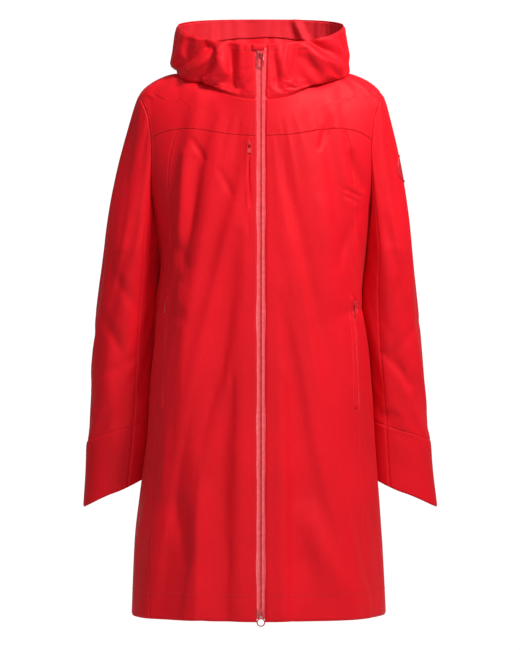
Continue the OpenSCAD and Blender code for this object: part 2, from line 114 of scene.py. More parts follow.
def step(lo, hi, x):
    """Smooth step from 0 at lo to 1 at hi; lo may be the larger."""
    f = np.clip((x - lo) / (hi - lo), 0, 1)
    return f * f * (3 - 2 * f)


def stack(x, y, z):
    """Three arrays as one array of points."""
    return np.stack(np.broadcast_arrays(x, y, z), axis=-1)


def bezier(a, b, c, d, s):
    """Cubic Bezier curve of points a to d, at s from 0 to 1."""
    s = np.asarray(s)[..., None]
    return a * (1 - s) ** 3 + 3 * b * s * (1 - s) ** 2 + 3 * c * s * s * (1 - s) + d * s ** 3


# %% [markdown]
# ## Folds
#
# Cloth that hangs shows a few long soft folds and some short creases where it is pulled.
# Each is a line on the front of the jacket with a width and a height: the surface moves
# along its normal by height times a bell curve of the distance from that line. A low
# rolling noise on top keeps the large panels from looking like sheet metal.

# %% Folds and noise
def bumps(x, z, lines):
    """Sum over lines (x0, z0, x1, z1, width, height) of height * exp(-(distance/width)^2)."""
    total = np.zeros(np.broadcast(x, z).shape)
    for x0, z0, x1, z1, width, height in lines:
        dx, dz = x1 - x0, z1 - z0
        f = np.clip(((x - x0) * dx + (z - z0) * dz) / (dx * dx + dz * dz), 0, 1)
        far = np.hypot(x - x0 - f * dx, z - z0 - f * dz)
        total += height * np.exp(-(far / width) ** 2) * (0.35 + 0.65 * np.sin(np.pi * (0.1 + 0.8 * f)))
    return total


rng = np.random.default_rng(7)
WAVES = [(rng.uniform(0.6, 1.5), rng.uniform(-1, 1), rng.uniform(-0.55, 0.55), rng.uniform(0, 6.28))
         for _ in range(14)]


def rolling(u, v, size):
    """Smooth noise: a mean of 14 plane waves about `size` millimetres long."""
    total = 0
    for rate, cu, cv, phase in WAVES:
        total = total + np.sin((cu * u + cv * v) * 6.28 * rate / size + phase)
    return total / 3.7


FRONT_FOLDS = [
    (-124, -150, -133, -385, 11, 5.0), (-101, -160, -128, -350, 12, -5.0),
    (-109, -127, -92, -155, 5, -2.4), (-64, -176, -48, -212, 6, -2.0),
    (-21, -250, -15, -287, 5, -1.6), (-137, -715, -120, -800, 14, -5.0),
    (-100, -640, -95, -880, 20, 3.5), (-150, -420, -158, -700, 10, 2.5),
    (-112, -300, -118, -760, 34, 5.5), (-60, -330, -72, -880, 30, -3.0),
    (-30, -520, -34, -880, 16, 2.0),
    (114, -94, 94, -138, 6, -2.6), (139, -204, 168, -215, 4, -2.2),
    (138, -214, 165, -225, 4, -1.8), (150, -150, 168, -198, 8, -4.0),
    (73, -735, 147, -875, 22, 5.0), (58, -330, 66, -800, 30, -3.0),
    (112, -430, 118, -860, 24, -3.5), (30, -500, 34, -880, 16, 2.0),
    (100, -230, 120, -380, 16, 3.0), (-160, -245, -120, -330, 9, -3.0),
    (160, -240, 125, -330, 9, -2.6), (-170, -395, -120, -415, 9, -1.8),
    (170, -395, 130, -410, 9, -1.8)]
BACK_FOLDS = [
    (-60, -250, -70, -860, 26, 5.0), (20, -380, 10, -880, 30, -5.0), (85, -300, 95, -860, 26, 5.0),
    (-120, -440, -130, -880, 22, -4.0), (140, -460, 140, -880, 20, -4.0),
    (-130, -120, -70, -230, 14, -4.0), (130, -120, 75, -240, 14, -4.0),
    (-120, -400, 100, -415, 12, -3.0), (-60, -425, 120, -440, 10, 2.0)]


def body_fold(p):
    """How far the body's cloth stands off its plain surface at points p."""
    x, y, z = p[..., 0], p[..., 1], p[..., 2]
    front = step(12, -22, y)
    hem = step(-330, HEM_Z, z)
    zip_calm = step(10, 42, np.abs(x) + 60 * (y > 0))
    total = bumps(x, z, FRONT_FOLDS) * front + bumps(x, z, BACK_FOLDS) * (1 - front)
    angle = np.arctan2(x, -y)
    skirt = hem * (2.6 * np.sin(9 * angle + 0.7) + 2.0 * np.sin(5 * angle + 2.1))
    near_neck = step(-20, -90, z)
    return (1.5 * total * near_neck + skirt + rolling(x + 90 * angle, z, 210)) * zip_calm


FIELDS = {}
BODY_SHARE, SLEEVE_SHARE = 0.4, 0.35
print("front folds:", len(FRONT_FOLDS), "back folds:", len(BACK_FOLDS))

# %% [markdown]
# ## The body's surface
#
# A point has a turn `t`, in degrees from the centre front towards the wearer's left, and a
# level `k`: -1 at the hem, 0 at the armpits, 1 at the neck seam. Below the armpits the
# rings are level superellipses. Above, each ring point climbs a Bezier curve over the
# shoulder to the neck. The centre front stays one straight line for the zip.

# %% Body surface
def turn(t):
    """Sine and cosine of degrees."""
    r = np.radians(t)
    return np.sin(r), np.cos(r)


def front_y(z):
    """Depth of the centre front line at height z."""
    return FRONT_TOP + (CHIN_Z - z) * FRONT_SLOPE


def low_body(t, k):
    """Ring point: half width times sine^0.87, depth times cosine^0.87, at its height."""
    s, c = turn(t)
    z = PIT_Z + k * LOW_LENGTH
    half = np.where(s > 0, through(z, HALF_LEFT), through(z, HALF_RIGHT))
    depth = np.where(c > 0, front_y(z), through(z, BACK_DEPTH))
    return stack(half * signed_power(s, ROUND), -depth * signed_power(c, ROUND), z)


def neck(t):
    """The neck seam: a superellipse that drops towards the front."""
    s, c = turn(t)
    depth = np.where(c > 0, front_y(-NECK_DROP), NECK_BACK)
    return stack(NECK_HALF * signed_power(s, ROUND), -depth * signed_power(c, ROUND),
                 -NECK_DROP * ((1 + c) / 2) ** 2.2)


def body_plain(t, k):
    """The body before folds: rings below the armpits, a Bezier over the shoulder above."""
    t, k = np.broadcast_arrays(np.asarray(t, float), np.asarray(k, float))
    s, c = turn(t)
    low = low_body(t, np.minimum(k, 0))
    a, d = low_body(t, 0 * k), neck(t)
    m = (s * s)[..., None]
    sx = signed_power(s, ROUND)
    b = mix(mix(a, d, 1 / 3), stack(240 * sx, a[..., 1] * 0.95, -25), m)
    e = mix(mix(a, d, 2 / 3), stack(200 * sx, a[..., 1] * 0.7, -12), m)
    return np.where((k < 0)[..., None], low, bezier(a, b, e, d, np.maximum(k, 0)))


def normals(surface, u, v, du, dv):
    """Unit normals of surface(u, v) from small steps du and dv both ways."""
    n = np.cross(surface(u + du, v) - surface(u - du, v), surface(u, v + dv) - surface(u, v - dv))
    return n / np.maximum(np.linalg.norm(n, axis=-1, keepdims=True), 1e-9)


def shrug(p, fade=1.0):
    """Lifts the shoulders: 7 mm far from the middle and high up, nothing below the chest."""
    rise = 7 * step(-190, -50, p[..., 2]) * step(40, 130, np.abs(p[..., 0])) * fade
    return p + stack(0 * rise, 0 * rise, rise)


def body_at(t, k, off=0.0):
    """Points on the folded body, moved out along the normal by off."""
    k = np.clip(k, -1.02, 1.03)
    p = body_plain(t, k)
    p = p + normals(body_plain, t, k, 0.4, 0.004) * (body_fold(p) + off)[..., None]
    if "body" in FIELDS:
        p = p + BODY_SHARE * read_field(FIELDS["body"], np.mod(t, 360), k)
    return shrug(p)


print("chest is", round(float(np.ptp(body_plain(np.array([-90, 90]), 0.0)[:, 0]))), "mm wide")

# %% [markdown]
# ## The hood's surface
#
# Nobody wears the hood, so it stands on the neck seam like a slumped bag: the back and the
# sides bulge out over the shoulders, the rim climbs from the chin to two corners, and
# where the high chin guard ends the cloth breaks into a deep crease on each side.

# %% Hood surface
RIM_HALF = 139.0
HOOD_FOLDS = [
    (-66, 44, -152, -10, 9, -15.0), (64, 46, 152, 8, 8, -14.0),
    (-86, 22, -120, -2, 11, 9.0), (70, 24, 128, 6, 12, 8.0),
    (-36, -38, -84, -14, 8, -6.0), (22, -28, 96, -2, 8, -6.0),
    (-62, 40, -74, 12, 5, 4.0), (-92, 34, -70, 16, 5, -4.0),
    (18, 20, 24, -26, 7, -6.0), (-50, 30, -44, -24, 8, -9.0), (-76, 30, -58, -12, 9, 6.0),
    (-120, 60, -142, 10, 10, 4.0), (124, 60, 140, 30, 8, -3.0)]
HOOD_BACK_FOLDS = [
    (-82, 84, -84, 20, 6, -4.0), (60, 88, 76, 50, 6, -9.0), (76, 50, 74, 10, 7, -6.0),
    (-20, 80, -50, 10, 18, 4.0), (20, 70, 40, 5, 14, -4.0), (-110, 60, -90, 0, 10, 5.0)]


def rim_z(c):
    """Height of the rim: low at the chin, quick to rise at the sides."""
    share = np.where(c > 0, 0.66 * np.maximum(1 - c, 0) ** 0.9, ((1 - c) / 2) ** 0.6)
    return CHIN_Z + (RIM_Z + 5 - CHIN_Z) * share


def hood_plain(t, h):
    """Bezier from the neck seam out over the shoulders and up to the rim."""
    t, h = np.broadcast_arrays(np.asarray(t, float), np.asarray(h, float))
    s, c = turn(t)
    a, z = neck(t), rim_z(c)
    m = (s * s)[..., None]
    wide = mix(RIM_HALF, NECK_HALF + 4, np.maximum(0, c) ** 8)
    depth = np.where(c > 0, front_y(z), NECK_BACK + 22)
    d = stack(wide * signed_power(s, 0.78), -depth * signed_power(c, 0.86), z)
    sx, lean = signed_power(s, ROUND), -signed_power(c, ROUND)
    b = mix(mix(a, d, 1 / 3), a + stack(85 * sx, 16 * lean, -10), m)
    back = np.where(c < 0, 10.0, 0.0)
    e = mix(mix(a, d, 2 / 3) + stack(0, back, 0), d + stack(11 * sx, 12 * lean, -64), m)
    return bezier(a, b, e, d, h)


def hood_fold(p):
    """How far the hood's cloth stands off its plain surface at points p."""
    x, y, z = p[..., 0], p[..., 1], p[..., 2]
    front = step(34, -4, y)
    zip_calm = step(9, 26, np.abs(x) + 60 * (y > 0))
    total = bumps(x, z, HOOD_FOLDS) * front + bumps(x, z, HOOD_BACK_FOLDS) * (1 - front)
    return (total + 0.8 * rolling(x + y, z, 90)) * zip_calm * step(-62, -48, z)


def hood_at(t, h, off=0.0):
    """Points on the folded hood, moved out by off; the folds die out at the neck seam."""
    p = hood_plain(t, h)
    calm = step(0, 0.14, np.broadcast_to(h, p.shape[:-1]))
    p = p + normals(hood_plain, t, h, 0.5, 0.006) * (hood_fold(p) * calm + off)[..., None]
    if "hood" in FIELDS:
        p = p + read_field(FIELDS["hood"], np.mod(t, 360), h)
    return shrug(p, (1 - np.broadcast_to(h, p.shape[:-1])) ** 2)


print("hood rim is", round(float(np.ptp(hood_plain(np.array([-90, 90]), 1.0)[:, 0]))), "mm wide")

# %% [markdown]
# ## The sleeves' surface
#
# A sleeve point has a turn `p` round the arm, from the outer side over the front, and a
# length `q`: 0 at the armhole seam, 1 where the sleeve clears the armpit, 2 at the cuff's
# edge. The cap is a Bezier from the oval armhole to the tube below, and the cuff ends on
# a slant, longer over the back of the hand.

# %% Sleeve surface
ARM_TOP, ARM_TURN, ARM_JOIN = 0.47, 24.0, 0.24
TUBE_Z, CUFF_SLANT, CUFF_HEIGHT = -300.0, 25.0, 110.0
OUT_LEFT = [(-729, 294), (-646, 284), (-558, 278.5), (-429, 267), (-300, 254)]
OUT_RIGHT = [(-729, 296), (-646, 290.5), (-558, 287), (-429, 277), (-300, 261)]
IN_GAP = [(-690, -5.0), (-541, -4.5), (-430, -4.0), (-300, -2.5)]
TUBE_DEPTH = [(-729, 40), (-650, 43), (-560, 49), (-430, 56), (-300, 62)]
TUBE_MID = [(-729, 44), (-600, 44), (-430, 36), (-300, 24)]
CUFF_Q = 2 - CUFF_HEIGHT / (TUBE_Z - CUFF_Z)
SLEEVE_FOLDS = {
    1: [(205, -255, 222, -330, 9, -3.5), (238, -330, 205, -420, 9, -3.0),
        (262, -420, 222, -470, 8, -2.5), (214, -300, 210, -560, 10, 2.5),
        (250, -500, 232, -640, 12, 2.5), (205, -470, 250, -520, 8, -2.2)],
    -1: [(205, -250, 224, -330, 9, -3.5), (240, -345, 205, -400, 9, -3.0),
         (262, -410, 225, -480, 9, -3.0), (222, -300, 222, -540, 12, 2.5),
         (255, -480, 240, -640, 12, 2.5), (210, -480, 255, -505, 8, -2.4)]}


def arm_hole(p, side, grow=0.0, off=0.0):
    """The armhole seam, an oval on the body's surface; grow moves it in under the panels."""
    s, c = turn(p)
    t = side * (90 - (ARM_TURN + grow) * s)
    k = ARM_TOP * (1 + c * (1 + grow / ARM_TURN)) / 2
    point = body_at(t, k, off)
    return point * np.array([side, 1, 1])


def tube(p, z, side):
    """Superellipse round the arm at height z, tight beside the body."""
    s, c = turn(p)
    outer = through(z, OUT_LEFT if side > 0 else OUT_RIGHT)
    inner = through(z, HALF_LEFT if side > 0 else HALF_RIGHT) + through(z, IN_GAP)
    half = (outer - inner) / 2
    return stack((outer + inner) / 2 + half * signed_power(c, ROUND),
                 through(z, TUBE_MID) - through(z, TUBE_DEPTH) * signed_power(s, ROUND), z)


def sleeve_plain(p, q, side):
    """Cap: Bezier from the armhole to the tube. Below: the tube down to the slanted edge."""
    p, q = np.broadcast_arrays(np.asarray(p, float), np.asarray(q, float))
    s, c = turn(p)
    end = CUFF_Z + CUFF_SLANT - CUFF_SLANT * c
    low = tube(p, mix(TUBE_Z, end, np.maximum(q - 1, 0)), side)
    a = arm_hole(p, side, off=0.2)
    d = tube(p, TUBE_Z + 0 * q, side)
    third = np.linalg.norm(d - a, axis=-1)[..., None] / 3
    outward = 0.29 * (1 + c) / 2 - 0.03
    b = a + third * stack(outward, 0, -0.8)
    e = d - third * stack(0.1, 0, -1.0)
    return np.where((q > 1)[..., None], low, bezier(a, b, e, d, np.clip(q, 0, 1)))


def sleeve_at(p, q, side, off=0.0):
    """Points on one folded sleeve, moved out by off, and mirrored for the wearer's right."""
    point = sleeve_plain(p, q, side)
    n = normals(lambda u, v: sleeve_plain(u, v, side), p, q, 0.8, 0.006)
    x, y, z = point[..., 0], point[..., 1], point[..., 2]
    free = step(0.0, 0.25, np.broadcast_to(q, x.shape)) * step(0.2, 8, -z - 225 + 400 * (y < 90))
    outer_side = step(-0.9, -0.4, turn(p)[1] + 0 * x)
    fold = bumps(x, z, SLEEVE_FOLDS[side]) + 1.1 * rolling(x + y, z, 150)
    point = (point + n * (fold * free * outer_side + off)[..., None]) * np.array([side, 1, 1])
    if side in FIELDS:
        field = read_field(FIELDS[side], np.mod(p + 180, 360) - 180 + 0 * q, q + 0 * p)
        point = point + SLEEVE_SHARE * field
    return point


print("armhole is", round(float(np.ptp(arm_hole(np.arange(0, 360, 5.0), 1)[:, 2]))), "mm deep")

# %% [markdown]
# ## Let the cloth settle
#
# A surface drawn by formula is too clean. So a coarse grid of each one is given to the
# cloth solver for a few frames: the cloth is a little larger than its drawn shape, seams
# hold it softly, and the spare length buckles into wrinkles where it can. What is kept
# is how far each point moved beyond the mean of its neighbourhood, which leaves the outline
# alone. Every piece reads that field through its (u, v), at the strength its surface names.

# %% Mesh helpers
def finish_mesh(name, verts, faces, uvs, smooth=True):
    """Puts arrays into a new mesh object; uvs is one pair for each vertex, or None."""
    mesh = bpy.data.meshes.new(name)
    mesh.vertices.add(len(verts))
    mesh.vertices.foreach_set("co", (np.asarray(verts) * MM).astype(np.float32).ravel())
    faces = np.asarray(faces)
    size = faces.shape[1]
    mesh.loops.add(faces.size)
    mesh.loops.foreach_set("vertex_index", faces.astype(np.int32).ravel())
    mesh.polygons.add(len(faces))
    mesh.polygons.foreach_set("loop_start", np.arange(0, faces.size, size, dtype=np.int32))
    mesh.polygons.foreach_set("loop_total", np.full(len(faces), size, np.int32))
    if uvs is not None:
        layer = mesh.uv_layers.new(name="cloth")
        layer.data.foreach_set("uv", np.asarray(uvs)[faces.ravel()].astype(np.float32).ravel())
    mesh.polygons.foreach_set("use_smooth", np.full(len(faces), smooth))
    mesh.update(calc_edges=True)
    mesh.validate()
    piece = bpy.data.objects.new(name, mesh)
    bpy.context.scene.collection.objects.link(piece)
    return piece


def grid_faces(rows, cols, closed=False, flip=False):
    """Quads of a grid; closed joins the last column to the first."""
    j, i = np.meshgrid(np.arange(rows - 1), np.arange(cols if closed else cols - 1), indexing="ij")
    k = (i + 1) % cols
    quads = np.stack([j * cols + i, j * cols + k, (j + 1) * cols + k, (j + 1) * cols + i], -1)
    quads = quads.reshape(-1, 4)
    return quads[:, ::-1] if flip else quads


# %% Cloth solver
FRAMES, REACH, MOST_MOVED = 14, 12, 8.0


def settle(points, hold, grow, stiff):
    """Runs cloth on a grid of points, pinned by hold. Returns the movement less its mean."""
    rows, cols = points.shape[:2]
    cloth = finish_mesh("settling", points.reshape(-1, 3), grid_faces(rows, cols), None)
    group = cloth.vertex_groups.new(name="held")
    levels = np.round(hold.ravel(), 2)
    for level in np.unique(levels):
        group.add(np.flatnonzero(levels == level).tolist(), float(level), "REPLACE")
    solver = cloth.modifiers.new("cloth", "CLOTH")
    rules = solver.settings
    rules.quality = 5
    rules.mass = 0.25
    rules.tension_stiffness = rules.compression_stiffness = 40
    rules.shear_stiffness = 12
    rules.bending_stiffness = stiff
    rules.air_damping = 2.0
    rules.vertex_group_mass = "held"
    rules.pin_stiffness = 0.6
    rules.shrink_min = rules.shrink_max = -grow
    solver.point_cache.frame_end = FRAMES + 1
    for frame_number in range(1, FRAMES + 1):
        bpy.context.scene.frame_set(frame_number)
    shape = cloth.evaluated_get(bpy.context.evaluated_depsgraph_get()).to_mesh()
    moved = np.empty(rows * cols * 3, np.float32)
    shape.vertices.foreach_get("co", moved)
    bpy.data.objects.remove(cloth)
    bpy.context.scene.frame_set(1)
    change = moved.reshape(rows, cols, 3) / MM - points
    wrinkles = change - blur(blur(change, REACH, 0), REACH, 1)
    size = np.linalg.norm(wrinkles, axis=-1, keepdims=True)
    free = (1 - np.clip(hold, 0, 1) ** 2)[..., None]
    return wrinkles * free * np.minimum(1, MOST_MOVED / np.maximum(size, 1e-6))


def blur(grid, reach, axis):
    """Mean over a bell of neighbours along one axis; the edges repeat."""
    bell = np.exp(-(np.arange(-2 * reach, 2 * reach + 1) / reach) ** 2)
    pad = [(0, 0)] * grid.ndim
    pad[axis] = (2 * reach, 2 * reach)
    wide = np.pad(grid, pad, mode="edge")
    return sum(w * np.take(wide, np.arange(i, i + grid.shape[axis]), axis)
               for i, w in enumerate(bell / bell.sum()))


def read_field(field, u, v):
    """Bilinear reading of a settled field: (u0, u1, v0, v1, grid) at points (u, v)."""
    u0, u1, v0, v1, grid = field
    rows, cols = grid.shape[:2]
    x = np.clip((u - u0) / (u1 - u0), 0, 1) * (cols - 1)
    y = np.clip((v - v0) / (v1 - v0), 0, 1) * (rows - 1)
    i, j = np.minimum(x.astype(int), cols - 2), np.minimum(y.astype(int), rows - 2)
    fx, fy = (x - i)[..., None], (y - j)[..., None]
    low = grid[j, i] * (1 - fx) + grid[j, i + 1] * fx
    high = grid[j + 1, i] * (1 - fx) + grid[j + 1, i + 1] * fx
    return low * (1 - fy) + high * fy


def pinned(u, v, edges, base):
    """Pin weights: 1 at the named edges, falling to base inside."""
    weight = np.full(u.shape, base)
    for distance in edges:
        weight = np.maximum(weight, step(1, 0, distance))
    return weight


t, k = np.meshgrid(np.linspace(2, 358, 150), np.linspace(-1, 1, 130))
seams = [np.minimum(t, 360 - t) / 10 - 0.2, (1 - k) / 0.25 - 0.3]
held = pinned(t, k, seams, 0.06)
FIELDS["body"] = (2, 358, -1, 1, settle(body_at(t, k), held, 0.007, 2.0))
for side in (1, -1):
    p, q = np.meshgrid(np.linspace(-180, 180, 61), np.linspace(0, 2, 110))
    grid = sleeve_at(p, q, side)
    held = pinned(p, q, [q / 0.12, (180 - np.abs(p)) / 40, (2 - q) / 0.3 - 0.2], 0.07)
    FIELDS[side] = (-180, 180, 0, 2, settle(grid, held, 0.014, 1.5))
t, h = np.meshgrid(np.linspace(3, 357, 130), np.linspace(0, 1, 44))
held = pinned(t, h, [h / 0.2, np.minimum(t, 360 - t) / 12, (1 - h) / 0.04], 0.10)
FIELDS["hood"] = (3, 357, 0, 1, settle(hood_at(t, h), held, 0.025, 0.8))
for name, field in FIELDS.items():
    print("settled", name, "most", round(float(np.linalg.norm(field[4], axis=-1).max()), 1), "mm")

# %% [markdown]
# ## From grid to cloth
#
# Every panel is a grid of points in rows and columns. The mesh gets a UV map in metres
# along the cloth, so that the weave keeps its size, and a Solidify modifier gives the
# sheet its thickness. Near a seam the panel dips by about a millimetre, which makes the
# fine groove that a turned and stitched edge shows.

# %% Grid helpers
CLOTH = 0.8
GROOVE = 1.15


def cloth_uv(points):
    """Distance along the middle row and column, in metres, as a UV pair for each point."""
    rows, cols = points.shape[:2]
    across = np.linalg.norm(np.diff(points[rows // 2], axis=0), axis=1)
    along = np.linalg.norm(np.diff(points[:, cols // 2], axis=0), axis=1)
    u = np.concatenate([[0], np.cumsum(across)]) * MM
    v = np.concatenate([[0], np.cumsum(along)]) * MM
    return np.stack(np.meshgrid(u, v), -1).reshape(-1, 2)


def cloth_piece(name, points, material, flip=False, thick=CLOTH):
    """A grid of points as a sheet with thickness, its outer face on the points."""
    rows, cols = points.shape[:2]
    piece = finish_mesh(name, points.reshape(-1, 3), grid_faces(rows, cols, flip=flip),
                        cloth_uv(points))
    piece.data.materials.append(material)
    solid = piece.modifiers.new("thickness", "SOLIDIFY")
    solid.thickness = thick * MM
    solid.offset = -1
    return piece


def stations(length, pitch=3.5):
    """Places along a panel in millimetres: even steps, with close ones at both ends."""
    ends = np.array([-0.8, 0.0, 0.7, 1.4, 2.2, 3.2])
    inner = np.linspace(5.0, length - 5.0, max(3, int(length / pitch)))
    return np.concatenate([ends, inner, (length - ends)[::-1]])


def groove(d, length):
    """Offset at distance d along a panel: down by GROOVE at both edges, 0 inside."""
    near = np.minimum(d, length - d)
    return -GROOVE * (1 - step(-0.5, 2.6, near))


# %% [markdown]
# ## Materials
#
# The face cloth is a fine plain weave with a matt water-repellent finish: a deep saturated
# red with a little sheen at grazing angles. Weave, slubs and faint handling marks go into
# bump and roughness through the UV map, at their real size. The zip tape is the opposite:
# a smooth film that mirrors the light.

# %% Material helpers
def new_material(name, colour, rough, **sockets):
    """A Principled material with plain socket values set on the shader itself."""
    mat = bpy.data.materials.new(name)
    mat.use_nodes = True
    shader = mat.node_tree.nodes["Principled BSDF"]
    shader.inputs["Base Color"].default_value = (*colour, 1)
    shader.inputs["Roughness"].default_value = rough
    for key, value in sockets.items():
        shader.inputs[key.replace("_", " ")].default_value = value
    return mat, mat.node_tree, shader


def node(tree, kind, **inputs):
    """A new node with some of its input values set by name."""
    made = tree.nodes.new(kind)
    for key, value in inputs.items():
        made.inputs[key.replace("_", " ")].default_value = value
    return made


def ramp(tree, source, colours):
    """A colour ramp over source with (place, colour) stops."""
    made = tree.nodes.new("ShaderNodeValToRGB")
    stops = made.color_ramp.elements
    while len(stops) < len(colours):
        stops.new(0.5)
    for stop, (place, colour) in zip(stops, colours):
        stop.position = place
        stop.color = (*colour, 1)
    tree.links.new(source, made.inputs["Fac"])
    return made.outputs["Color"]


def bump_from(tree, source, shader, strength, distance):
    """Turns a grey value into the shader's bumped normal."""
    bump = node(tree, "ShaderNodeBump", Strength=strength, Distance=distance)
    tree.links.new(source, bump.inputs["Height"])
    tree.links.new(bump.outputs["Normal"], shader.inputs["Normal"])


def cloth_material(name, colour, dark, rough, weave_mm, weave_depth, sheen):
    """Woven cloth: two crossed thread waves in bump, slow colour drift, worn roughness."""
    mat, tree, shader = new_material(name, colour, rough, Sheen_Weight=sheen,
                                     Sheen_Roughness=0.45, Specular_IOR_Level=0.16)
    shader.inputs["Sheen Tint"].default_value = (1.0, 0.45, 0.45, 1)
    uv = tree.nodes.new("ShaderNodeUVMap")
    uv.uv_map = "cloth"
    space = tree.nodes.new("ShaderNodeTexCoord")
    scale = 1 / (weave_mm * MM)
    threads = []
    for direction in ("X", "Y"):
        wave = node(tree, "ShaderNodeTexWave", Scale=scale / 6.283, Distortion=0.6, Detail=1.0,
                    Detail_Scale=1.5)
        wave.bands_direction = direction
        tree.links.new(uv.outputs["UV"], wave.inputs["Vector"])
        threads.append(wave.outputs["Fac"])
    weave = tree.nodes.new("ShaderNodeMath")
    weave.operation = "MAXIMUM"
    tree.links.new(threads[0], weave.inputs[0])
    tree.links.new(threads[1], weave.inputs[1])
    crumple = node(tree, "ShaderNodeTexNoise", Scale=38.0, Detail=4.0, Roughness=0.55)
    tree.links.new(space.outputs["Object"], crumple.inputs["Vector"])
    drift = node(tree, "ShaderNodeTexNoise", Scale=7.0, Detail=3.0, Roughness=0.5)
    tree.links.new(space.outputs["Object"], drift.inputs["Vector"])
    shade = ramp(tree, drift.outputs["Fac"], [(0.3, dark), (0.7, colour)])
    tree.links.new(shade, shader.inputs["Base Color"])
    wear = tree.nodes.new("ShaderNodeMapRange")
    wear.inputs["To Min"].default_value = rough - 0.07
    wear.inputs["To Max"].default_value = rough + 0.08
    tree.links.new(crumple.outputs["Fac"], wear.inputs["Value"])
    tree.links.new(wear.outputs["Result"], shader.inputs["Roughness"])
    coarse = node(tree, "ShaderNodeBump", Strength=0.35, Distance=0.0016)
    tree.links.new(crumple.outputs["Fac"], coarse.inputs["Height"])
    fine = node(tree, "ShaderNodeBump", Strength=weave_depth, Distance=0.00012)
    tree.links.new(weave.outputs["Value"], fine.inputs["Height"])
    tree.links.new(coarse.outputs["Normal"], fine.inputs["Normal"])
    tree.links.new(fine.outputs["Normal"], shader.inputs["Normal"])
    return mat


# %% Materials of the jacket
RED = (0.72, 0.003, 0.012)
RED_DARK = (0.62, 0.002, 0.009)
shell_cloth = cloth_material("shell_cloth", RED, RED_DARK, 0.56, 0.55, 0.5, 0.04)
lining_cloth = cloth_material("lining_cloth", (0.62, 0.012, 0.022), (0.54, 0.01, 0.02), 0.7, 0.9,
                              0.6, 0.1)
label_cloth = cloth_material("label_cloth", (0.80, 0.79, 0.76), (0.72, 0.71, 0.68), 0.6, 0.5,
                             0.4, 0.1)


def thread_material():
    """Sewing thread: fine twist lines across, a little glossier than the cloth."""
    mat, tree, shader = new_material("thread", (0.62, 0.010, 0.020), 0.5, Specular_IOR_Level=0.4)
    space = tree.nodes.new("ShaderNodeTexCoord")
    twist = node(tree, "ShaderNodeTexNoise", Scale=2500.0, Detail=1.0)
    tree.links.new(space.outputs["Object"], twist.inputs["Vector"])
    bump_from(tree, twist.outputs["Fac"], shader, 0.4, 0.0001)
    return mat


def film_material():
    """Zip tape: woven tape under a smooth clear film."""
    mat, tree, shader = new_material("zip_film", (0.78, 0.05, 0.06), 0.26, Coat_Weight=0.7,
                                     Coat_Roughness=0.12, Specular_IOR_Level=0.6)
    space = tree.nodes.new("ShaderNodeTexCoord")
    ribs = node(tree, "ShaderNodeTexNoise", Scale=160.0, Detail=3.0)
    tree.links.new(space.outputs["Object"], ribs.inputs["Vector"])
    shade = ramp(tree, ribs.outputs["Fac"], [(0.3, (0.72, 0.035, 0.05)), (0.7, (0.82, 0.07, 0.08))])
    tree.links.new(shade, shader.inputs["Base Color"])
    bump_from(tree, ribs.outputs["Fac"], shader, 0.25, 0.0004)
    return mat


def hard_material(name, colour, worn, rough, metallic=0.0, coat=0.3):
    """Enamel, nylon or metal with small scuffs in colour and roughness."""
    mat, tree, shader = new_material(name, colour, rough, Metallic=metallic, Coat_Weight=coat,
                                     Coat_Roughness=0.15)
    space = tree.nodes.new("ShaderNodeTexCoord")
    scuff = node(tree, "ShaderNodeTexNoise", Scale=420.0, Detail=5.0, Roughness=0.6)
    tree.links.new(space.outputs["Object"], scuff.inputs["Vector"])
    shade = ramp(tree, scuff.outputs["Fac"], [(0.35, worn), (0.55, colour)])
    tree.links.new(shade, shader.inputs["Base Color"])
    wear = tree.nodes.new("ShaderNodeMapRange")
    wear.inputs["To Min"].default_value = rough + 0.18
    wear.inputs["To Max"].default_value = rough - 0.05
    tree.links.new(scuff.outputs["Fac"], wear.inputs["Value"])
    tree.links.new(wear.outputs["Result"], shader.inputs["Roughness"])
    return mat


thread = thread_material()
zip_film = film_material()
coil_nylon = hard_material("coil_nylon", (0.50, 0.012, 0.02), (0.42, 0.01, 0.018), 0.4, coat=0.1)
enamel = hard_material("red_enamel", (0.66, 0.018, 0.028), (0.5, 0.02, 0.03), 0.28, coat=0.6)
bronze = hard_material("dull_red_metal", (0.50, 0.04, 0.05), (0.40, 0.06, 0.06), 0.35, 0.55, 0.2)
bright_metal = hard_material("satin_metal", (0.62, 0.62, 0.64), (0.5, 0.5, 0.52), 0.35, 1.0, 0.0)
print("materials:", len(bpy.data.materials))

# %% [markdown]
# ## Body panels
#
# The seams are curves on the surface: the princess seam runs from the yoke through the
# pocket to the hem, the yoke seam crosses the chest, and the armhole is an oval. A panel
# is the patch between two turns and two levels, written as a function of a (round) and
# b (up), both from 0 to 1.

# %% Seam curves and panel patches
PRINCESS = [(0, 55.5), (0.06, 56.1), (0.235, 60), (0.41, 60.8), (0.616, 64.3), (0.78, 55), (1, 47.7)]
ZIP_WINDOW = 7.5


def yoke_level(t):
    """Level of the yoke seam: higher in the middle of the front than at the armholes."""
    s, c = turn(t)
    return np.where(c > 0, 0.657 - 0.5 * s * s, 0.45 - 0.25 * s * s)


def princess(b):
    """Turn of the princess seam at height b of the panel."""
    return through(b, PRINCESS)


def arm_edge(k):
    """Turn of the armhole's front edge at level k."""
    return 90 - ARM_TURN * np.sqrt(np.maximum(0, 1 - (2 * k / ARM_TOP - 1) ** 2))


def window_turn(k, beside=ZIP_WINDOW):
    """Turn that lies `beside` mm from the centre front, from the half width at level k."""
    low = through(PIT_Z + np.minimum(k, 0) * LOW_LENGTH, HALF_LEFT)
    half = np.where(k < 0, low, mix(HALF_LEFT[-1][1], NECK_HALF, np.maximum(k, 0)))
    return np.degrees(np.arcsin((beside / half) ** (1 / ROUND)))


TURN_PER_MM = 180 / np.pi / 150 * 1.15


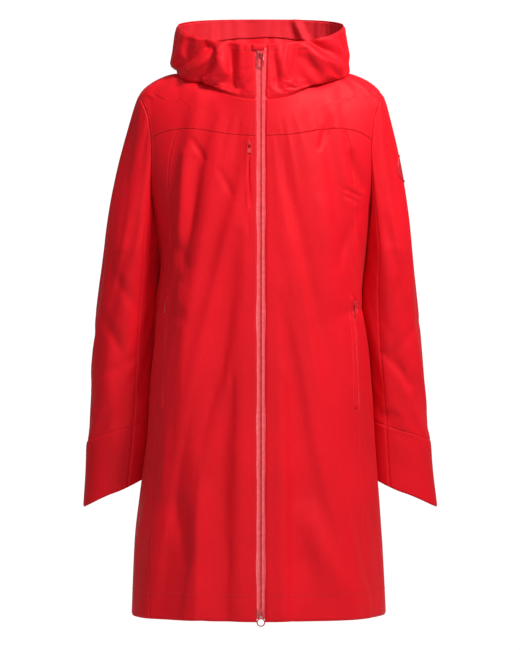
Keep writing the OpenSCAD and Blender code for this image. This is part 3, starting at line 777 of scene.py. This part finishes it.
def patch_front(a, b):
    """From the zip's window to the princess seam."""
    t = mix(window_turn(-1 + b * (1 + yoke_level(0.0))), princess(b), a)
    return t, -1 + b * (1 + yoke_level(t))


def side_lift(b, t_in, t_out, a):
    """Lifts a side panel's rows towards its top, so that the top edge meets the yoke."""
    line = mix(yoke_level(t_in), yoke_level(t_out), a)
    return np.abs(b) ** 8 * (yoke_level(mix(t_in, t_out, a)) - line)


def patch_side(a, b):
    """From the princess seam to the side, then along the armhole up to the yoke."""
    k1 = -1 + (1 + ARM_JOIN) * b
    t = mix(princess(b), arm_edge(np.maximum(0, k1)), a)
    k = mix(-1 + b * (1 + yoke_level(princess(b))), k1, a)
    return t, k + side_lift(b, princess(1.0), arm_edge(ARM_JOIN), a)


def patch_side_back(a, b):
    """The side's back half: from the side seam to the back princess seam."""
    k1 = -1 + (1 + ARM_JOIN) * b
    t = mix(180 - arm_edge(np.maximum(0, k1)), 180 - princess(b), a)
    k = mix(k1, -1 + b * (1 + yoke_level(180 - princess(b))), a)
    return t, k + side_lift(b, 180 - arm_edge(ARM_JOIN), 180 - princess(1.0), a)


def patch_back(a, b):
    """Centre back, between the two back princess seams."""
    t = mix(180 - princess(b), 180 + princess(b), a)
    return t, -1 + b * (1 + yoke_level(t))


CAP = 0.42


def yoke_corner(b):
    """Turn and level of a yoke's outer edge: up the armhole, then along the shoulder seam."""
    low = np.clip(b / CAP, 0, 1)
    k = np.where(b < CAP, mix(ARM_JOIN, ARM_TOP, low), mix(ARM_TOP, 1, (b - CAP) / (1 - CAP)))
    return np.where(b < CAP, arm_edge(np.minimum(k, ARM_TOP)), 90.0), k


def patch_yoke(a, b):
    """Front yoke: yoke seam below, neck seam above, armhole and shoulder outside."""
    outer, edge = yoke_corner(b)
    t = mix(window_turn(mix(yoke_level(0.0), 1, b)), outer, a)
    fit = edge - mix(yoke_level(outer), 1, b)
    return t, mix(yoke_level(t), 1, b) + fit * np.abs(a) ** 3


def patch_back_yoke(a, b):
    """Back yoke, from one armhole and shoulder to the other."""
    outer, edge = yoke_corner(b)
    t = mix(180 - outer, 180 + outer, a)
    fit = edge - mix(yoke_level(180 - outer), 1, b)
    return t, mix(yoke_level(t), 1, b) + fit * np.abs(2 * a - 1) ** 3


# %% Lay the body panels
sheets = {}


def patch_area(points):
    """Area of a grid in square metres: half the cross product of each cell's diagonals."""
    p = points * MM
    first, second = p[1:, 1:] - p[:-1, :-1], p[1:, :-1] - p[:-1, 1:]
    return float(np.linalg.norm(np.cross(first, second), axis=-1).sum() / 2)


def lay_sheet(piece, points):
    """Declares a grid as a sheet: its longest row and column are the cut's width and length."""
    wide = np.linalg.norm(np.diff(points, axis=1), axis=-1).sum(axis=1).max() * MM
    long = np.linalg.norm(np.diff(points, axis=0), axis=-1).sum(axis=0).max() * MM
    area = patch_area(points)
    sheets[piece.name] = (round(float(wide), 3), round(float(long), 3), round(area, 4))


def dress(piece, bodies, nodes, slot_name, points=None):
    """Parents a piece to the empty of the one body it rides, else bakes its transform in place; hides the
    nodes it stands for, and lays its sheet when points are given. slot_name is not used.
    """
    if len(bodies) == 1:
        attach(piece, bodies[0])
    else:
        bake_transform(piece)
    if nodes:
        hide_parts(*nodes)
    if points is not None:
        lay_sheet(piece, points)
    return piece


POCKET_TOP, POCKET_LOW = 0.617, 0.403
SLIT_X, SLIT_TOP, SLIT_LOW = -19.0, -124.0, -232.0


def recess(name, da, width, b):
    """The hand pocket's opening: both panels step back along the seam between its ends."""
    if name.startswith("front_panel"):
        near = width - da
    elif name.startswith("side_front"):
        near = da
    else:
        return 0
    tall = step(POCKET_LOW - 0.004, POCKET_LOW + 0.006, b) * step(POCKET_TOP + 0.004,
                                                                  POCKET_TOP - 0.006, b)
    return -2.6 * step(7.5, 4.5, near)[None, :] * tall[:, None]


def body_panel(name, patch, width, height, side=1):
    """Samples a patch closely, dips its edges, and adds it to the shell as a sheet."""
    da, db = stations(width), stations(height)
    if name.startswith("front_panel"):
        da = np.sort(np.append(da, [9.4, 10.2, 10.8, 11.2, 11.8, 12.6, 186.5, 184.5, 182.5]))
    if name.startswith("side_front"):
        da = np.sort(np.append(da, [4.2, 6.0, 7.2]))
    a, b = np.meshgrid(da / width, db / height)
    t, k = patch(a, b)
    dip = np.minimum(groove(da, width)[None, :], groove(db, height)[:, None])
    dip = dip + recess(name, da, width, db / height)
    points = body_at(side * t, k, dip)
    if name == "front_panel_right":
        x, z = points[..., 0], points[..., 2]
        inside = step(SLIT_LOW - 3, SLIT_LOW + 1, z) * step(SLIT_TOP + 3, SLIT_TOP - 1, z)
        slit = np.exp(-((x - SLIT_X) / 0.9) ** 2) * 2.4 - np.exp(-((x - SLIT_X + 3) / 2.0) ** 2)
        points[..., 1] += slit * inside
    piece = cloth_piece(name + "_cloth", points, shell_cloth, flip=side < 0)
    return dress(piece, ("shell",), [name], "shell_fabric", points)


for side, word in ((1, "left"), (-1, "right")):
    body_panel(f"front_panel_{word}", patch_front, 190, 790, side)
    body_panel(f"side_front_{word}", patch_side, 80, 800, side)
    body_panel(f"side_back_{word}", patch_side_back, 80, 800, side)
    body_panel(f"front_yoke_{word}", patch_yoke, 220, 130, side)
body_panel("back_panel", patch_back, 400, 800)
body_panel("back_yoke", patch_back_yoke, 430, 140)
print("body panels:", len(sheets), "cloth so far:", round(sum(s[2] for s in sheets.values()), 2), "m2")

# %% [markdown]
# ## Hood
#
# Each side of the hood is one piece from the zip, over the chin guard and round to the
# seam beside the centre strip.

# %% Hood panels
HOOD_SEAM = 147.0
HOOD_BLEND = ("shell", "hood", (0, 0, 0.0), (0, 0, 0.06))


def hood_piece(name, t0, t1, width, height, side, stands_for):
    """A patch of the hood between two turns, dipped at its edges."""
    da, db = stations(width, 3.0), stations(height, 2.6)
    t, h = np.meshgrid(mix(t0, t1, da / width), db / height)
    tuck = step(7, 0, db)[:, None] + 0 * t
    upper = np.where(db < height / 2, 0, groove(db, height))
    points = hood_at(side * t, h, np.minimum(groove(da, width)[None, :], upper[:, None]) - 1.8 * tuck)
    points[..., 2] -= 3 * tuck
    piece = cloth_piece(name + "_cloth", points, shell_cloth, flip=side < 0)
    return dress(piece, HOOD_BLEND, stands_for, "shell_fabric", points)


for side, word in ((1, "left"), (-1, "right")):
    hood_piece(f"hood_side_{word}", 3.2, HOOD_SEAM, 330, 110, side,
               (f"hood_side_{word}", f"collar_{word}"))
hood_piece("hood_centre", HOOD_SEAM, 360 - HOOD_SEAM, 140, 130, 1, ("hood_centre",))

# %% [markdown]
# ## Sleeves
#
# Each sleeve has an upper piece, a narrow piece under the arm, and a separate slanted
# cuff. All three are patches of one tube. Each sleeve's blend names the shell, the sleeve
# and two points on a line that slopes out and down, because the armhole does too; with
# two bodies the pieces only have their transform baked.

# %% Sleeve panels
SEAM_P = 112.0
SLEEVE_BLEND = {"left": ("shell", "left_sleeve", (0.21, 0, -0.1488), (0.2589, 0, -0.1665)),
                "right": ("shell", "right_sleeve", (-0.21, 0, -0.1488), (-0.2589, 0, -0.1665))}


def sleeve_piece(name, word, p0, p1, q0, q1, width, height):
    """A patch of one sleeve between two turns and two lengths, dipped at its edges."""
    side = 1 if word == "left" else -1
    da, db = stations(width), stations(height)
    p, q = np.meshgrid(mix(p0, p1, da / width), mix(q0, q1, db / height))
    dip = np.minimum(groove(da, width)[None, :], groove(db, height)[:, None])
    points = sleeve_at(p, q, side, dip)
    piece = cloth_piece(name + "_cloth", points, shell_cloth, flip=side > 0)
    return dress(piece, SLEEVE_BLEND[word], [name], "shell_fabric", points)


for word in ("left", "right"):
    sleeve_piece(f"sleeve_top_{word}", word, -SEAM_P, SEAM_P, 0, CUFF_Q, 210, 560)
    sleeve_piece(f"sleeve_under_{word}", word, SEAM_P, 360 - SEAM_P, 0, CUFF_Q, 90, 430)
    sleeve_piece(f"cuff_{word}", word, SEAM_P - 360, SEAM_P, CUFF_Q, 2, 250, 110)

# %% [markdown]
# ## Zips
#
# The front zip runs on a straight line that leans forward towards the hem, because the
# skirt is wider than the neck. Its own frame has its origin at the top end, z up along
# the zip and y inwards. The pocket zips lie in frames of their own, in the side seams.

# %% Frames of the zips
ZIP_TILT = np.arctan(FRONT_SLOPE)
ZIP_TOP = CHIN_Z - 6
ZIP_LENGTH = (ZIP_TOP - HEM_Z - 4) / np.cos(ZIP_TILT)


def zip_at(p):
    """Points of the front zip's frame in the jacket's: turn about x, then shift."""
    p = np.asarray(p, float)
    c, s = np.cos(ZIP_TILT), np.sin(ZIP_TILT)
    x, y, z = p[..., 0], p[..., 1], p[..., 2]
    return stack(x, y * c + z * s - front_y(ZIP_TOP), z * c - y * s + ZIP_TOP)


def sweep(path, radius, sides=8, closed=False):
    """A round tube along a path: rings square to the path's direction."""
    path = np.asarray(path, float)
    if closed:
        ahead, back = np.roll(path, -1, 0), np.roll(path, 1, 0)
    else:
        ahead = np.vstack([path[1:], 2 * path[-1:] - path[-2:-1]])
        back = np.vstack([2 * path[:1] - path[1:2], path[:-1]])
    along = ahead - back
    along /= np.linalg.norm(along, axis=1, keepdims=True)
    helper = np.where(np.abs(along[:, :1]) < 0.9, [[1.0, 0, 0]], [[0, 1.0, 0]])
    u = np.cross(along, helper)
    u /= np.linalg.norm(u, axis=1, keepdims=True)
    v = np.cross(along, u)
    turns = np.arange(sides) * 2 * np.pi / sides
    radius = np.broadcast_to(radius, len(path))[:, None, None]
    ring = np.cos(turns)[None, :, None] * u[:, None] + np.sin(turns)[None, :, None] * v[:, None]
    verts = (path[:, None] + radius * ring).reshape(-1, 3)
    rows = len(path)
    quads = grid_faces(rows + 1 if closed else rows, sides, closed=True) % (rows * sides)
    if closed:
        return verts, quads
    first = [(0, j, j + 1, j + 1) for j in range(1, sides - 1)]
    last = [((rows - 1) * sides, (rows - 1) * sides + j + 1, (rows - 1) * sides + j,
             (rows - 1) * sides + j) for j in range(1, sides - 1)]
    return verts, np.vstack([quads, np.array(first + last)])


def join(parts):
    """Several (verts, quads) as one."""
    verts, faces, base = [], [], 0
    for v, f in parts:
        verts.append(v)
        faces.append(f + base)
        base += len(v)
    return np.vstack(verts), np.vstack(faces)


def solid_piece(name, verts, faces, material, body_name, node_name, slot_name, bevel=0.0):
    """A hard piece that rides one body and stands for one node of the model."""
    triangles = faces[:, 2] == faces[:, 3]
    mesh = bpy.data.meshes.new(name)
    mesh.from_pydata((verts * MM).tolist(), [], [f[:3].tolist() if tri else f.tolist()
                                                for f, tri in zip(faces, triangles)])
    mesh.polygons.foreach_set("use_smooth", np.full(len(mesh.polygons), bevel == 0))
    piece = bpy.data.objects.new(name, mesh)
    bpy.context.scene.collection.objects.link(piece)
    piece.data.materials.append(material)
    if bevel:
        edge = piece.modifiers.new("rounding", "BEVEL")
        edge.width = bevel * MM
        edge.segments = 3
    return dress(piece, (body_name,), [node_name] if node_name else [], slot_name)


def block(lo, hi, place=None):
    """A box between two corners, as verts and quads, put through `place`."""
    x, y, z = np.meshgrid([lo[0], hi[0]], [lo[1], hi[1]], [lo[2], hi[2]], indexing="ij")
    verts = stack(x, y, z).reshape(-1, 3)
    quads = np.array([(0, 1, 3, 2), (4, 6, 7, 5), (0, 4, 5, 1), (2, 3, 7, 6), (0, 2, 6, 4),
                      (1, 5, 7, 3)])
    return (place(verts) if place else verts), quads


# %% Front zip: film tape and coil
TAPE_Y, TAPE_OUT = 0.9, 12.0
for side, word in ((1, "left"), (-1, "right")):
    across = np.array([0.35, 0.6, 1.2, 2.2, 3.4, 4.6, 5.8, 7.0, 9.0, TAPE_OUT])
    up = np.linspace(-ZIP_LENGTH, 0, 310)
    roll = np.interp(across, [0.35, 1.0, 4.0, 7.0, 12.0], [1.4, 0.35, -0.15, 0.3, 0.6])
    wander = 0.12 * np.sin(up / 31) + 0.08 * np.sin(up / 13 + 1)
    grid = zip_at(stack(side * across[None, :], TAPE_Y + roll[None, :] + wander[:, None],
                        up[:, None]))
    tape = cloth_piece(f"zip_tape_{word}_film", grid, zip_film, flip=side < 0, thick=0.6)
    dress(tape, ("shell",), [f"zip_tape_{word}"], "zip_film", grid)
    turns = np.arange(0, (ZIP_LENGTH - 8) / 2.0 * 2 * np.pi, 2 * np.pi / 9)
    height = -4 - turns / (2 * np.pi) * 2.0
    helix = zip_at(stack(side * (2.0 + 1.0 * np.cos(turns)), 3.5 + 0.95 * np.sin(turns), height))
    solid_piece(f"zip_coil_{word}_teeth", *sweep(helix, 0.36, 5), coil_nylon, "shell",
                f"zip_coil_{word}", "zip_coil")
print("zip:", round(ZIP_LENGTH), "mm of film tape and coil")

# %% Sliders and pulls of the front zip
WINDOW = ZIP_WINDOW - 1
SLIDE = 11.0
TOP_REST = -4.6
LOW_REST = -ZIP_LENGTH + 4.6 + SLIDE
PIVOT = (-2.4, -SLIDE / 2)


def slider_parts(rest):
    """Front plate with tapered shoulders, post, rear plate and the bridge over the pull."""
    def place(v):
        v = np.array(v, float)
        shoulder = np.where(v[:, 2] < -SLIDE / 2, 0.8, 1.0)
        v[:, 0] *= shoulder
        return zip_at(v + [0, 0, rest])
    plate = block((-WINDOW, -0.9, -SLIDE), (WINDOW, 0.7, 0), place)
    post = block((-0.4, 0.6, -SLIDE + 2), (0.4, 5.3, -2), place)
    rear = block((-4.6, 5.15, -SLIDE), (4.6, 6.45, 0), place)
    turns = np.linspace(np.pi, 0, 13)
    arch = zip_at(stack(0 * turns, -0.7 - 3.3 * np.sin(turns), -SLIDE / 2 + 3.9 * np.cos(turns) + rest))
    bridge = sweep(arch, 0.85, 8)
    return join([plate, post, rear]), bridge


def stadium(half, drop, rest):
    """Closed path of a loop that hangs from its bar: two straight legs and a round end."""
    end = np.linspace(0, -np.pi, 17)
    low = stack(half * np.cos(end), PIVOT[0] + 0 * end, PIVOT[1] - (drop - half) + half * np.sin(end))
    high = np.array([(-half, PIVOT[0], PIVOT[1] + 0.2), (-half * 0.7, PIVOT[0], PIVOT[1] + 0.75),
                     (half * 0.7, PIVOT[0], PIVOT[1] + 0.75), (half, PIVOT[0], PIVOT[1] + 0.2)])
    return zip_at(np.vstack([low, high]) + [0, 0, rest])


for tag, rest, paint in (("top", TOP_REST, enamel), ("bottom", LOW_REST, enamel)):
    (verts, faces), bridge = slider_parts(rest)
    solid_piece(f"{tag}_slider_body", verts, faces, paint, f"{tag}_runner", f"{tag}_slider",
                "coated_metal", bevel=0.45)
    solid_piece(f"{tag}_slider_bridge", *bridge, paint, f"{tag}_runner", None, "coated_metal")
solid_piece("top_pull_loop", *sweep(stadium(4.6, 20.5, TOP_REST), 1.0, 10, closed=True), enamel,
            "top_tab", "top_pull", "coated_metal")
angle = np.arange(36) * np.pi / 18
hang = np.array([0, PIVOT[0], PIVOT[1] + LOW_REST])
ring = zip_at(hang) + stack(6.0 * np.cos(angle), 0 * angle, -15.4 + 6.0 * np.sin(angle))
stem = zip_at(hang) + np.array([(-2.6, 0, -9.8), (-2.6, 0, -0.3), (-1.9, 0, 0.5), (1.9, 0, 0.5),
                                (2.6, 0, -0.3), (2.6, 0, -9.8)])
solid_piece("bottom_pull_ring", *join([sweep(ring, 0.95, 9, closed=True), sweep(stem, 0.8, 8)]),
            bronze, "bottom_ring", "bottom_pull", "coated_metal")

# %% [markdown]
# ## Facings, bags and small sheets
#
# Inside, every edge is finished with a second layer: a facing behind the hood's rim, the
# collar, the hem and the cuffs, a tape over the neck seam, and the flat bags of the
# pockets. They are the same surfaces again, a little further in.

# %% Facings and bags
def inner_sheet(name, points, bodies, node_names, material=None, flip=False, thick=0.6):
    """A lining sheet on a grid, riding one body, or with its transform baked in place where two are
    given.
    """
    piece = cloth_piece(name, points, material or lining_cloth, flip=flip, thick=thick)
    slot_name = "label_cloth" if material is label_cloth else "lining_fabric"
    return dress(piece, bodies, node_names, slot_name, points)


def grid_between(lo_u, hi_u, lo_v, hi_v, nu, nv):
    """Two arrays of a grid between the given limits."""
    return np.meshgrid(np.linspace(lo_u, hi_u, nu), np.linspace(lo_v, hi_v, nv))


t, h = grid_between(75, 285, 0.66, 0.992, 110, 14)
inner_sheet("hood_rim_band", hood_at(t, h, np.full(t.shape, -1.6)), HOOD_BLEND,
            ["hood_rim_facing"])
for side, word in ((1, "left"), (-1, "right")):
    t, h = grid_between(9, 70, 0.72, 0.992, 50, 14)
    inner_sheet(f"collar_band_{word}", hood_at(side * t, h, np.full(t.shape, -1.6)), HOOD_BLEND,
                ["collar_facing"] if side > 0 else [], flip=side < 0)
    t, k = grid_between(9, 180, -0.999, -0.935, 130, 8)
    inner_sheet(f"hem_band_{word}", body_at(side * t, k, np.full(t.shape, -1.5)), ("shell",),
                ["hem_facing"] if side > 0 else [], flip=side < 0)
    a, b = grid_between(0, 1, POCKET_LOW - 0.05, POCKET_TOP + 0.01, 26, 48)
    points = body_at(side * mix(16, princess(b) - 7, a), -1 + b * 1.25, np.full(a.shape, -6.5))
    inner_sheet(f"pocket_bag_{word}_cloth", points, ("shell",), [f"pocket_bag_{word}"],
                flip=side < 0, thick=1.6)
    p, q = grid_between(-245, 109, 1.93, 1.99, 90, 8)
    inner_sheet(f"cuff_band_{word}", sleeve_at(p, q, side, np.full(p.shape, -1.6)),
                (f"{word}_sleeve",), [f"cuff_facing_{word}"], flip=side > 0)
t, k = grid_between(110, 250, 0.86, 0.98, 90, 8)
inner_sheet("neck_tape_cloth", body_at(t, k, np.full(t.shape, -1.5)), ("shell",), ["neck_tape"])
t, k = grid_between(-46, -13, -0.16, 0.55, 22, 40)
inner_sheet("chest_bag_cloth", body_at(t, k, np.full(t.shape, -6.0)), ("shell",),
            ["chest_pocket_bag"], thick=1.4)
x, z = grid_between(-22, 22, -ZIP_LENGTH + 8, -4, 16, 220)
ripple = 0.5 * np.sin(z / 37) + 0.4 * np.sin(z / 19 + x / 9)
inner_sheet("storm_flap_cloth", zip_at(stack(x, 9.6 + ripple, z)), ("shell",), ["storm_flap"])
print("sheets so far:", len(sheets))

# %% [markdown]
# ## Hang loop and label
#
# The loop is one folded tape, bent in a half circle inside the back of the neck. The
# label below it is blank woven cloth that bows away from the neck seam a little.

# %% Hang loop and label
angle = np.linspace(-0.12, np.pi + 0.12, 40)
arc = stack(24.6 * np.cos(angle), NECK_BACK - 14 + 0 * angle, 24.6 * np.sin(angle))
band = arc[None] + np.linspace(-5.1, 5.1, 6)[:, None, None] * np.array([0.0, 1.0, 0.0])
inner_sheet("hang_loop_tape", band, ("shell",), ["hang_loop"], thick=1.6)
x, z = grid_between(-14, 14, -46, -12, 18, 20)
bow = 1.2 * np.sin((z + 46) / 34 * np.pi) + 0.3 * np.sin(x / 4)
inner_sheet("size_label_cloth", stack(x, NECK_BACK - 6 - bow, z), ("shell",), ["size_label"],
            label_cloth, thick=0.5)

# %% [markdown]
# ## Pocket welts, zip garage and patch
#
# A welt is a folded strip that stands up over the pocket's zip. The garage is the small
# flap that keeps the top slider off the chin. The patch is a plain disc with a
# thread-covered rim: whatever is worked on the real one is left out.

# %% Welts and garage
for side, word in ((1, "left"), (-1, "right")):
    length = 190.0
    db = np.concatenate([[0, 0.8, 2], np.linspace(5, length - 5, 60), [length - 2, length - 0.8, length]])
    da = np.array([-15.0, -14.6, -13.6, -12.0, -10.0, -8.0, -6.0, -4.6, -4.0, -3.6, -3.5])
    b = POCKET_LOW - 0.006 + db / length * (POCKET_TOP - POCKET_LOW + 0.012)
    t0 = princess(b)
    t = t0[:, None] + da[None, :] * TURN_PER_MM
    k = (-1 + b * (1 + yoke_level(t0)))[:, None] + 0 * t
    lift = np.interp(da, [-15, -14.2, -12, -6, -4.2, -3.5], [-0.3, 0.9, 1.5, 2.6, 2.5, 1.2])
    ends = step(0, 5, db) * step(length, length - 5, db)
    points = body_at(side * t, k, -0.2 + lift[None, :] * mix(0.35, 1, ends)[:, None])
    welt = cloth_piece(f"pocket_welt_{word}_cloth", points, shell_cloth, flip=side < 0, thick=0.9)
    dress(welt, ("shell",), [f"pocket_welt_{word}"], "shell_fabric", points)

low = TOP_REST + 0.8
x, z = grid_between(-ZIP_WINDOW - 6.5, ZIP_WINDOW - 1.5, low, low + 10.4, 14, 14)
curl = 1.0 * np.sin((z - low) / 10.4 * np.pi) * step(-ZIP_WINDOW - 6.5, -ZIP_WINDOW - 3, x)
garage = zip_at(stack(x, -1.6 - curl, z))
flap = cloth_piece("zip_garage_cloth", garage, shell_cloth, thick=1.2)
dress(flap, ("shell",), ["zip_garage"], "shell_fabric", garage)

# %% Looks of the small hard parts kept as they are
for node_name, look in (("zip_top_stops", bright_metal), ("zip_bottom_pin", bright_metal),
                        ("chest_pocket_zip", zip_film), ("chest_slider", enamel),
                        ("chest_pull", enamel), ("pocket_slider_left", enamel),
                        ("pocket_slider_right", enamel), ("pocket_pull_left", enamel),
                        ("pocket_pull_right", enamel)):
    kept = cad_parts[node_name].data
    kept.materials.clear()
    kept.materials.append(look)

# %% Pocket zips and the chest zip's tape
def seam_strip(name, side, x0, x1, depth, body_node):
    """A narrow strip of film along the pocket's seam, from x0 to x1 mm beside it."""
    db = np.linspace(0, 1, 60)
    b = mix(POCKET_LOW, POCKET_TOP, db)
    da = np.linspace(x0, x1, 5)
    t = princess(b)[:, None] + da[None, :] * TURN_PER_MM
    k = (-1 + b * (1 + yoke_level(princess(b))))[:, None] + 0 * t
    points = body_at(side * t, k, np.full(t.shape, depth))
    strip = cloth_piece(name, points, zip_film, flip=side < 0, thick=0.6)
    dress(strip, ("shell",), [body_node] if body_node else [], "zip_film")


for side, word in ((1, "left"), (-1, "right")):
    seam_strip(f"pocket_zip_{word}_front", side, -5.0, -0.5, -1.9, f"pocket_zip_{word}")
    seam_strip(f"pocket_zip_{word}_back", side, 0.5, 5.0, -1.9, None)

# %% Round patch on the left sleeve
PATCH_P, PATCH_Q, PATCH_RADIUS = 12.0, 0.495, 22.0


def patch_points(radius, turns):
    """Points on the left sleeve at a radius in mm round the patch's middle."""
    p0, q0 = PATCH_P, PATCH_Q
    here = sleeve_plain(np.array(p0), np.array(q0), 1)
    per_p = np.linalg.norm(sleeve_plain(np.array(p0 + 4.0), np.array(q0), 1) - here) / 4
    per_q = np.linalg.norm(sleeve_plain(np.array(p0), np.array(q0 + 0.04), 1) - here) / 0.04
    return p0 + radius * np.cos(turns) / per_p, q0 + radius * np.sin(turns) / per_q


radius, turns = np.meshgrid(np.linspace(0.05, PATCH_RADIUS, 14), np.linspace(0, 2 * np.pi, 73))
p, q = patch_points(radius, turns)
patch_cloth = cloth_material("patch_cloth", (0.52, 0.008, 0.018), (0.42, 0.006, 0.014), 0.75, 1.1,
                             0.9, 0.15)
face = sleeve_at(p, q, 1, np.full(p.shape, 1.1))
disc = cloth_piece("sleeve_patch", face, patch_cloth, thick=0.9)
dress(disc, SLEEVE_BLEND["left"], ["sleeve_badge"], "patch", face)
turns = np.arange(120) * np.pi / 60
p, q = patch_points(PATCH_RADIUS, turns)
edge_ring = sleeve_at(p, q, 1, np.full(p.shape, 1.3))
verts, faces = sweep(edge_ring, 1.25 + 0.12 * np.sin(turns * 60), 8, closed=True)
rim = finish_mesh("sleeve_patch_edge", verts, faces, None)
rim.data.materials.append(thread)
dress(rim, SLEEVE_BLEND["left"], [], "patch")

# %% [markdown]
# ## Topstitching
#
# A row of stitches is a dotted line: each stitch comes up, lies on the cloth for about
# two millimetres, and goes down again. A row follows any curve on any of the surfaces.

# %% Stitches
def stitch_row(points, out, pitch=3.2, length=2.3, radius=0.3):
    """Small tubes along a path: each goes from under the cloth up, along, and down again."""
    far = np.concatenate([[0], np.cumsum(np.linalg.norm(np.diff(points, axis=0), axis=1))])
    start = np.arange(pitch / 2, far[-1] - length, pitch)
    at = start[:, None] + np.array([0, 0.18, 0.82, 1.0]) * length
    lift = np.array([-0.35, 0.16, 0.16, -0.35])
    path = np.stack([np.interp(at, far, points[:, i]) for i in range(3)], -1)
    up = np.stack([np.interp(at, far, out[:, i]) for i in range(3)], -1)
    path = path + up * lift[None, :, None]
    along = path[:, 3] - path[:, 0]
    along /= np.linalg.norm(along, axis=1, keepdims=True)
    beside = np.cross(along[:, None], up)
    turns = np.arange(5) * 2 * np.pi / 5
    ring = (np.cos(turns)[:, None] * up[:, :, None] + np.sin(turns)[:, None] * beside[:, :, None])
    verts = (path[:, :, None] + radius * ring).reshape(-1, 3)
    one = grid_faces(4, 5, closed=True)
    faces = (one[None] + (np.arange(len(start)) * 20)[:, None, None]).reshape(-1, 4)
    return verts, faces


def surface_row(surface_at, u, v, off=0.1):
    """Points and outward directions along a curve of a surface."""
    low, high = surface_at(u, v, np.full(u.shape, off)), surface_at(u, v, np.full(u.shape, off + 1))
    return low, high - low


def stitches(name, rows, blend=("shell",)):
    """All rows of one part of the jacket as one piece of thread."""
    verts, faces = join([stitch_row(*row) for row in rows])
    piece = finish_mesh(name, verts, faces, None)
    piece.data.materials.append(thread)
    dress(piece, blend, [], "shell_fabric")
    return len(faces) // 15


count = 0
for side, word in ((1, "left"), (-1, "right")):
    f = np.linspace(0, 1, 400)
    rows = []
    k = mix(-0.998, 0.985, f)
    rows.append(surface_row(body_at, side * window_turn(k, 10.3), k))
    t = mix(3.2, 66, f)
    rows.append(surface_row(body_at, side * t, yoke_level(t) + 0.009))
    b = mix(0.004, 0.99, f)
    rows.append(surface_row(body_at, side * (princess(b) - 1.0), -1 + b * (1 + yoke_level(princess(b)))))
    rows.append(surface_row(body_at, side * (180 - princess(b) + 1.0),
                            -1 + b * (1 + yoke_level(180 - princess(b)))))
    t = mix(3, 177, f)
    rows.append(surface_row(body_at, side * t, -0.938 + 0 * t))
    p = mix(-160, 160, f)
    grow = 2.0
    hole_t = 90 - (ARM_TURN + grow) * turn(p)[0]
    hole_k = ARM_TOP * (1 + turn(p)[1] * (1 + grow / ARM_TURN)) / 2
    rows.append(surface_row(body_at, side * hole_t, hole_k))
    b = mix(POCKET_LOW + 0.002, POCKET_TOP - 0.002, f)
    t = princess(b) - 14.2 * TURN_PER_MM
    rows.append(surface_row(body_at, side * t, -1 + b * (1 + yoke_level(princess(b))), 0.2))
    count += stitches(f"body_stitching_{word}", rows)
    rows = [surface_row(hood_at, side * mix(4.5, 179, f), 0.90 + 0 * f),
            surface_row(hood_at, side * (4.4 + 0 * f), mix(0.05, 0.99, f)),
            surface_row(hood_at, side * (HOOD_SEAM + 1.6 + 0 * f), mix(0.06, 0.98, f))]
    count += stitches(f"hood_stitching_{word}", rows, HOOD_BLEND)
    sleeve_side = lambda u, v, off: sleeve_at(u, v, side, off)
    rows = [surface_row(sleeve_side, mix(-245, 110, f), CUFF_Q + 0.006 + 0 * f),
            surface_row(sleeve_side, mix(-245, 110, f), 1.972 + 0 * f),
            surface_row(sleeve_side, SEAM_P - 1.8 + 0 * f, mix(0.03, CUFF_Q - 0.01, f)),
            surface_row(sleeve_side, -SEAM_P + 1.8 + 0 * f, mix(0.03, CUFF_Q - 0.01, f))]
    count += stitches(f"sleeve_stitching_{word}", rows, SLEEVE_BLEND[word])
print("stitches:", count)

# %% [markdown]
# ## Stage
#
# One key lamp from the upper right gives the folds their light and dark sides. The sky is
# bright only straight behind the jacket, so the background is white in the front view
# without washing out the cloth. A long lens from far off keeps the outline square.

# %% Floor, light and camera
def floor_and_light():
    """Pale floor, a sky that is brightest straight behind the jacket, and three lamps."""
    turns = np.arange(64) * np.pi / 32
    rim = stack(2200 * np.cos(turns), 2200 * np.sin(turns) - 300, -1300 + 0 * turns)
    floor = finish_mesh("floor", rim, [tuple(range(64))], None, smooth=False)
    paper, _, _ = new_material("paper", (0.86, 0.86, 0.86), 0.9)
    floor.data.materials.append(paper)
    world = bpy.data.worlds.new("sky")
    world.use_nodes = True
    tree = world.node_tree
    sky = tree.nodes["Background"]
    sky.inputs["Color"].default_value = (1, 1, 1, 1)
    way = tree.nodes.new("ShaderNodeTexCoord")
    axes = tree.nodes.new("ShaderNodeSeparateXYZ")
    glow = tree.nodes.new("ShaderNodeMapRange")
    glow.inputs["From Min"].default_value = 0.90
    glow.inputs["From Max"].default_value = 0.975
    glow.inputs["To Min"].default_value = 0.26
    glow.inputs["To Max"].default_value = 1.05
    tree.links.new(way.outputs["Generated"], axes.inputs["Vector"])
    tree.links.new(axes.outputs["Y"], glow.inputs["Value"])
    tree.links.new(glow.outputs["Result"], sky.inputs["Strength"])
    bpy.context.scene.world = world
    lights = (("key", (1.0, -1.15, 1.35), (0.0, 0, -0.2), 62, 0.4),
              ("top", (-0.3, -0.6, 1.6), (0, 0, -0.2), 7, 0.8),
              ("fill", (-0.6, -2.6, -0.3), (0, 0, -0.5), 8, 1.4))
    for name, place, aim, watts, size in lights:
        lamp = bpy.data.lights.new(name, "AREA")
        lamp.energy = watts
        lamp.size = size
        rig = bpy.data.objects.new(name, lamp)
        rig.location = place
        rig.rotation_euler = (Vector(aim) - Vector(place)).to_track_quat("-Z", "Y").to_euler()
        bpy.context.scene.collection.objects.link(rig)


floor_and_light()
camera = bpy.data.cameras.new("camera")
camera.lens = 150
camera.sensor_fit = "VERTICAL"
camera.sensor_height = 36
eye = bpy.data.objects.new("camera", camera)
eye.location = (-0.0015, -4.5, -0.425)
eye.rotation_euler = (np.pi / 2, 0, 0)
bpy.context.scene.collection.objects.link(eye)
bpy.context.scene.camera = eye
bpy.context.scene.view_settings.view_transform = "Standard"
